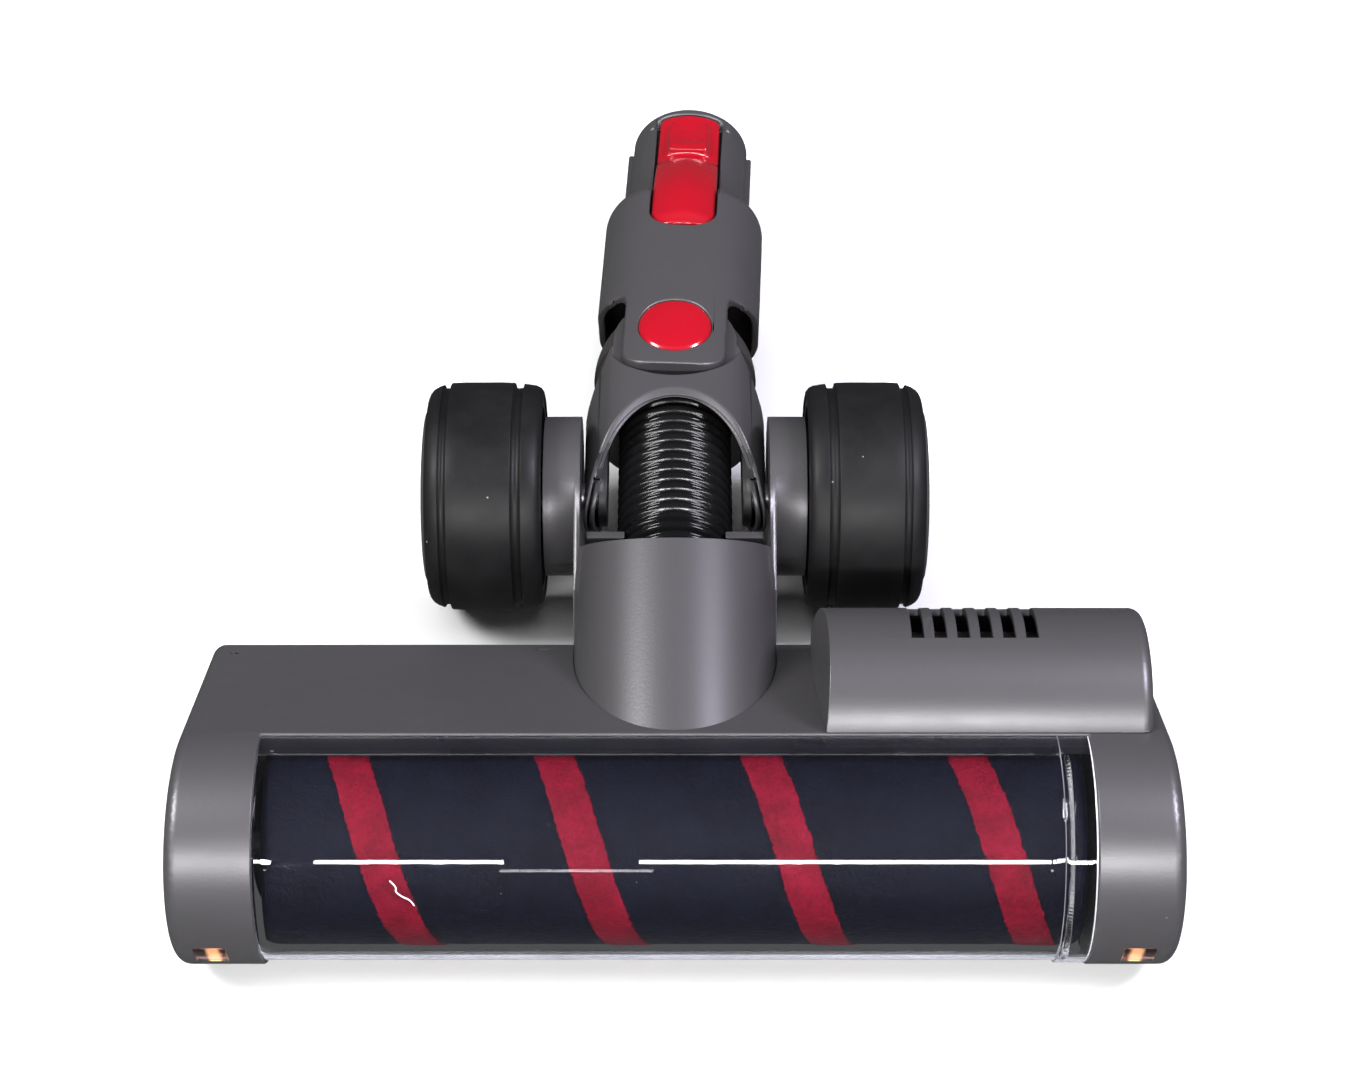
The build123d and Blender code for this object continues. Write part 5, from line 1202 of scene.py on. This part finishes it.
@dataclass
class WandTube:
    """Swivelling tube with its spigot, red cap and release catch."""

    tube_half: float = 23.4
    tube_corner: float = 18.0
    tongue_half: float = 14.7
    cut_mid: float = 64.5
    cut_slope: float = 0.33
    cut_wall: float = 4.0
    cut_lip: float = 0.9
    cut_under: float = 10.0
    cap_radius: float = 10.25
    cap_rise: float = 0.5
    cap_depth: float = 2.3
    cap_edge: float = 0.45
    cap_edge_from: float = 0.93
    catch_from: float = 88.2
    catch_to: float = 144.8
    catch_half: float = 9.5
    catch_taper: float = 0.35
    catch_least: float = 0.05
    catch_round: float = 0.9
    catch_under: float = 12.0
    catch_brim: float = 0.05
    rise_from: float = 102.2
    rise_to: float = 111.5
    pad_corner: float = 6.5
    end_corner: float = 2.0
    lever_radius: float = 17.4
    pad_top: float = 24.3
    pad_under: float = 20.6
    pad_crest: float = 99.0
    pad_start: float = 0.6
    pad_swell: float = 0.85
    nose_to: float = 93.0
    nose_drop: float = 1.1
    dome_to: float = 126.0
    dome_bow: float = 0.035
    tooth_from: float = 126.9
    tooth_to: float = 139.5
    tooth_half: float = 6.0
    tooth_top: float = 19.0
    tooth_fall: float = 1.0
    tooth_flat: float = 3.0
    tooth_front: float = 0.7
    tooth_back: float = 0.4
    tooth_side: float = 0.35
    tooth_bite: float = 0.9
    bite_from: float = 1.5
    bite_full: float = 6.0

    def build(self, bench: Bench) -> None:
        """Build the tube's pieces."""
        looks = bench.finishes
        tube = bench.rounded(
            "swivel_tube", "wand_socket_tube", looks.shell, edge=0.6, segments=3, reshape=self.split
        )
        bench.repaint(tube, looks.joint, self.on_cut)
        self.cap(bench)
        self.catch(bench)
        bench.rounded("contact_block", "contact_plug", looks.black, edge=0.3)
        bench.dress(looks.brass, "contact_pins")
        bench.dress(looks.black, "catch_pin")
        bench.dress(looks.steel, "catch_spring")

    def split(self, bm: Mesh) -> None:
        """Part the tube's side walls a little behind the openings, where their finish changes."""
        turn = LAYOUT.tube_frame()
        bmesh.ops.bisect_plane(
            bm, geom=[*bm.verts, *bm.edges, *bm.faces], dist=WELD,
            plane_co=turn @ (Vector((self.cut_mid + self.cut_wall, 0, 0)) * MM),
            plane_no=turn.to_3x3() @ Vector((1, 0, self.cut_slope)),
        )

    def on_cut(self, place: Vector) -> bool:
        """Whether a place lies on the dark rim of the openings beside the tongue."""
        along, across, up = (LAYOUT.tube_frame().inverted() @ place) / MM
        behind = along + self.cut_slope * up - self.cut_mid
        wall = self.cut_wall if up < self.cut_under else self.cut_lip
        return abs(across) > self.tongue_half and behind < wall

    def tube_top(self, across: float) -> float:
        """Height of the tube's outline at a distance from its middle, in mm."""
        flat = self.tube_half - self.tube_corner
        out = max(0.0, abs(across) - flat)
        return flat + math.sqrt(self.tube_corner**2 - out**2)

    def cap(self, bench: Bench) -> None:
        """Build the red pivot cap, gently domed over the tongue."""
        rings, spokes = 14, 73

        def place(column: int, row: int) -> Vector:
            """Place of one point of the cap's face."""
            share = math.sin(math.pi / 2 * column / (rings - 1))
            turn = math.tau * row / (spokes - 1)
            along = LAYOUT.swivel_at + self.cap_radius * share * math.cos(turn)
            across = self.cap_radius * share * math.sin(turn)
            rise = self.cap_rise * (1.0 - share**3)
            rise -= self.cap_edge * ease(share, self.cap_edge_from, 1.0)
            return Vector((along, across, self.tube_top(across) + rise)) * MM

        bm = mapped_grid(rings, spokes, place)
        bmesh.ops.remove_doubles(bm, verts=bm.verts, dist=WELD)
        low, wall = extruded_rim(bm)
        for vert in low:
            vert.co.z = (self.tube_half - self.cap_depth) * MM
        bmesh.ops.contextual_create(bm, geom=wall)
        bmesh.ops.recalc_face_normals(bm, faces=bm.faces)
        bmesh.ops.transform(bm, matrix=LAYOUT.tube_frame(), verts=bm.verts)
        bench.stand_in("pivot_cap", "red_pivot_cap", bm, bench.finishes.red)

    def half_at(self, along: float) -> float:
        """Half of the catch's width at a distance along it, with its round corners."""
        behind, ahead = along - self.catch_from, self.catch_to - along
        half = self.catch_half - self.catch_taper * (behind / (self.catch_to - self.catch_from))
        for corner, left in ((self.pad_corner, behind), (self.end_corner, ahead)):
            if left < corner:
                half += math.sqrt(max(0.0, corner**2 - (corner - left) ** 2)) - corner
        return max(half, self.catch_least)

    def catch_height(self, along: float, across: float) -> float:
        """Height of the catch's face: lever, domed pad and hollowed tooth.

        Args:
            along: Distance along the neck, in mm.
            across: Distance from the middle, in mm.

        Returns:
            Height above the neck's axis, in mm.
        """
        lever = math.sqrt(self.lever_radius**2 - across**2)
        climb = clamp((self.dome_to - along) / (self.dome_to - self.pad_crest))
        swell = math.sin(climb * math.pi / 2) ** self.pad_swell
        crest = self.lever_radius - self.pad_start
        crest += (self.pad_top - self.lever_radius + self.pad_start) * swell
        nose = self.nose_drop * ease(-along, -self.nose_to, -self.catch_from)
        top = max(lever, crest - self.dome_bow * across**2 - nose)
        inside = ease(along, self.tooth_from - self.tooth_front, self.tooth_from)
        inside *= ease(-along, -self.tooth_to - self.tooth_back, -self.tooth_to)
        inside *= ease(self.tooth_half - abs(across), -self.tooth_side, self.tooth_side)
        length = self.tooth_to - self.tooth_from - self.tooth_flat
        run = clamp((along - self.tooth_from - self.tooth_flat) / length)
        bite = self.tooth_bite * (1 - (across / self.tooth_half) ** 2)
        bite *= ease(along, self.tooth_from + self.bite_from, self.tooth_from + self.bite_full)
        tooth = self.tooth_top - self.tooth_fall * run - bite
        return top + max(0.0, tooth - top) * inside

    def catch(self, bench: Bench) -> None:
        """Build the red release catch as one smooth moulding."""
        spread = knots([(-1.0, 0), (-0.86, 7), (0.86, 26), (1.0, 7)])
        reach = knots([
            (self.catch_from, 0), (self.catch_from + 1.2, 8), (self.catch_from + 7.0, 14),
            (self.tooth_from - 2.0, 50), (self.tooth_from + 2.0, 20), (self.tooth_to - 1.0, 22),
            (self.tooth_to + 1.0, 8), (self.catch_to - 1.2, 8), (self.catch_to, 8),
        ])

        def place(column: int, row: int) -> Vector:
            """Place of one point of the catch's face."""
            along = reach[row]
            half = self.half_at(along)
            across = spread[column] * half
            edge = min(half - abs(across), along - self.catch_from, self.catch_to - along)
            short = max(0.0, 1 - edge / self.catch_round)
            drop = self.catch_round * (1 - math.sqrt(max(0.0, 1 - short * short)))
            return Vector((along, across, self.catch_height(along, across) - drop)) * MM

        bm = mapped_grid(len(spread), len(reach), place)
        low, wall = extruded_rim(bm)
        floor = self.catch_under * MM
        for vert in low:
            vert.co.z = floor
        bmesh.ops.contextual_create(bm, geom=wall)
        self.lift_underside(bm, floor)
        bmesh.ops.recalc_face_normals(bm, faces=bm.faces)
        bmesh.ops.transform(bm, matrix=LAYOUT.tube_frame(), verts=bm.verts)
        bench.stand_in("release_catch", "red_release_catch", bm, bench.finishes.red)

    def lift_underside(self, bm: Mesh, floor: float) -> None:
        """Raise the catch's flat underside below the pad, clear of the tube.

        Args:
            bm: Closed catch with a flat underside.
            floor: Height of the underside, in metres.
        """
        for station in knots([(self.rise_from, 0), (self.rise_to, 4)]):
            bmesh.ops.bisect_plane(
                bm, geom=[*bm.verts, *bm.edges, *bm.faces], dist=TIGHT_WELD,
                plane_co=(station * MM, 0, 0), plane_no=(1, 0, 0),
            )
        for vert in bm.verts:
            if abs(vert.co.z - floor) < TIGHT_WELD:
                share = (self.rise_to - vert.co.x / MM) / (self.rise_to - self.rise_from)
                rise = (self.pad_under - self.catch_under) * clamp(share) * MM
                beside = [edge.other_vert(vert).co for edge in vert.link_edges]
                brim = [at.z for at in beside if (at - vert.co).xy.length < TIGHT_WELD]
                vert.co.z = min([floor + rise, *(top - self.catch_brim * MM for top in brim)])


@dataclass
class Studio:
    """Pale floor, soft light and the photograph's camera."""

    elevation: float = 52.0
    camera_y: float = -0.503383
    camera_z: float = 0.6506
    lens: float = 76.53
    surround: tuple[float, ...] = (0.95, 0.97, 1.0, 1)
    surround_strength: float = 0.08
    strip_at: Point = (-0.845, 0.60)
    strip_aim: Point = (-0.13, 0.05)

    def build(self, finishes: Finishes) -> None:
        """Set the stage."""
        self.floor(finishes)
        self.world()
        self.lights()
        self.camera()
        bpy.context.scene.view_settings.view_transform = "Standard"

    def floor(self, finishes: Finishes) -> None:
        """Lay the plain floor, which mirror reflections don't show."""
        bm = bmesh.new()
        bmesh.ops.create_grid(bm, x_segments=2, y_segments=2, size=4.0)
        made = new_piece("studio_floor", bm, finishes.floor)
        made.visible_glossy = False
        made.visible_transmission = False

    def world(self) -> None:
        """Give an even pale surround."""
        world = bpy.data.worlds.new("pale_surround")
        world.use_nodes = True
        back = world.node_tree.nodes["Background"]
        back.inputs[0].default_value = self.surround
        back.inputs[1].default_value = self.surround_strength
        bpy.context.scene.world = world

    def lights(self) -> None:
        """Hang the soft lights."""
        self.area("ceiling", (0.0, 0.0, 1.7), (0, 0.0, 0.03), 2.0, 1.4, 25.0, mirrored=False)
        for name, x, width, height, power in (
            ("strip_right", 0.155, 0.35, 0.05, 4.5),
            ("strip_left", -0.148, 0.105, 0.05, 1.45),
            ("strip_far_left", -0.31, 0.13, 0.07, 2.0),
            ("strip_wide_right", 0.85, 1.0, 0.05, 5.0),
            ("strip_wide_left", -0.88, 1.0, 0.05, 5.0),
        ):
            place, aim = (x, *self.strip_at), (x, *self.strip_aim)
            self.area(name, place, aim, width, height, power)
        low = -0.055
        self.area("strip_low", (low, -0.92, 0.48), (low, *self.strip_aim), 0.085, 0.02, 0.06)
        self.area("left_box", (-0.93, -0.06, 1.17), (0, 0, 0.04), 0.45, 0.45, 19.0)
        cool = (0.88, 0.85, 1.0)
        self.area("right_box", (0.93, -0.06, 1.17), (0, 0, 0.04), 0.34, 0.4, 21.0, tint=cool)

    @staticmethod
    def area(
        name: str,
        place: Sequence[float],
        aim: Sequence[float],
        width: float,
        height: float,
        power: float,
        mirrored: bool = True,
        tint: Colour = (1.0, 1.0, 1.0),
    ) -> None:
        """Hang one area light.

        Args:
            name: Name of the light.
            place: Where it hangs, in metres.
            aim: What it points at.
            width: Its width along X, in metres.
            height: Its other side, in metres.
            power: Its power in watts.
            mirrored: Whether glossy surfaces show it.
            tint: Colour of its light.
        """
        light = bpy.data.lights.new(name, "AREA")
        light.shape = "RECTANGLE"
        light.size = width
        light.size_y = height
        light.energy = power
        light.color = tint
        made = bpy.data.objects.new(name, light)
        made.visible_glossy = mirrored
        made.visible_transmission = mirrored
        made.location = place
        made.rotation_euler = (Vector(aim) - Vector(place)).to_track_quat("-Z", "Y").to_euler()
        bpy.context.scene.collection.objects.link(made)

    def camera(self) -> None:
        """Place the camera at the photograph's viewing angle."""
        data = bpy.data.cameras.new("photo_camera")
        data.sensor_width = 36.0
        data.lens = self.lens
        data.clip_start = 0.01
        made = bpy.data.objects.new("photo_camera", data)
        made.location = (0, self.camera_y, self.camera_z)
        made.rotation_euler = (math.radians(90.0 - self.elevation), 0, 0)
        bpy.context.scene.collection.objects.link(made)
        bpy.context.scene.camera = made


def main() -> None:
    """Load the frame, build every sub-assembly and set the studio."""
    logging.basicConfig(level=logging.INFO, format="%(name)s: %(message)s")
    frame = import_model()
    finishes = Finishes()
    bench = Bench(frame, finishes)
    RollerHousing().build(bench)
    BrushRoller().build(bench)
    for side in Side:
        RollingWheel(side).build(bench)
    NeckJoint().build(bench)
    WandTube().build(bench)
    Studio().build(finishes)


if __name__ == "__main__":
    main()
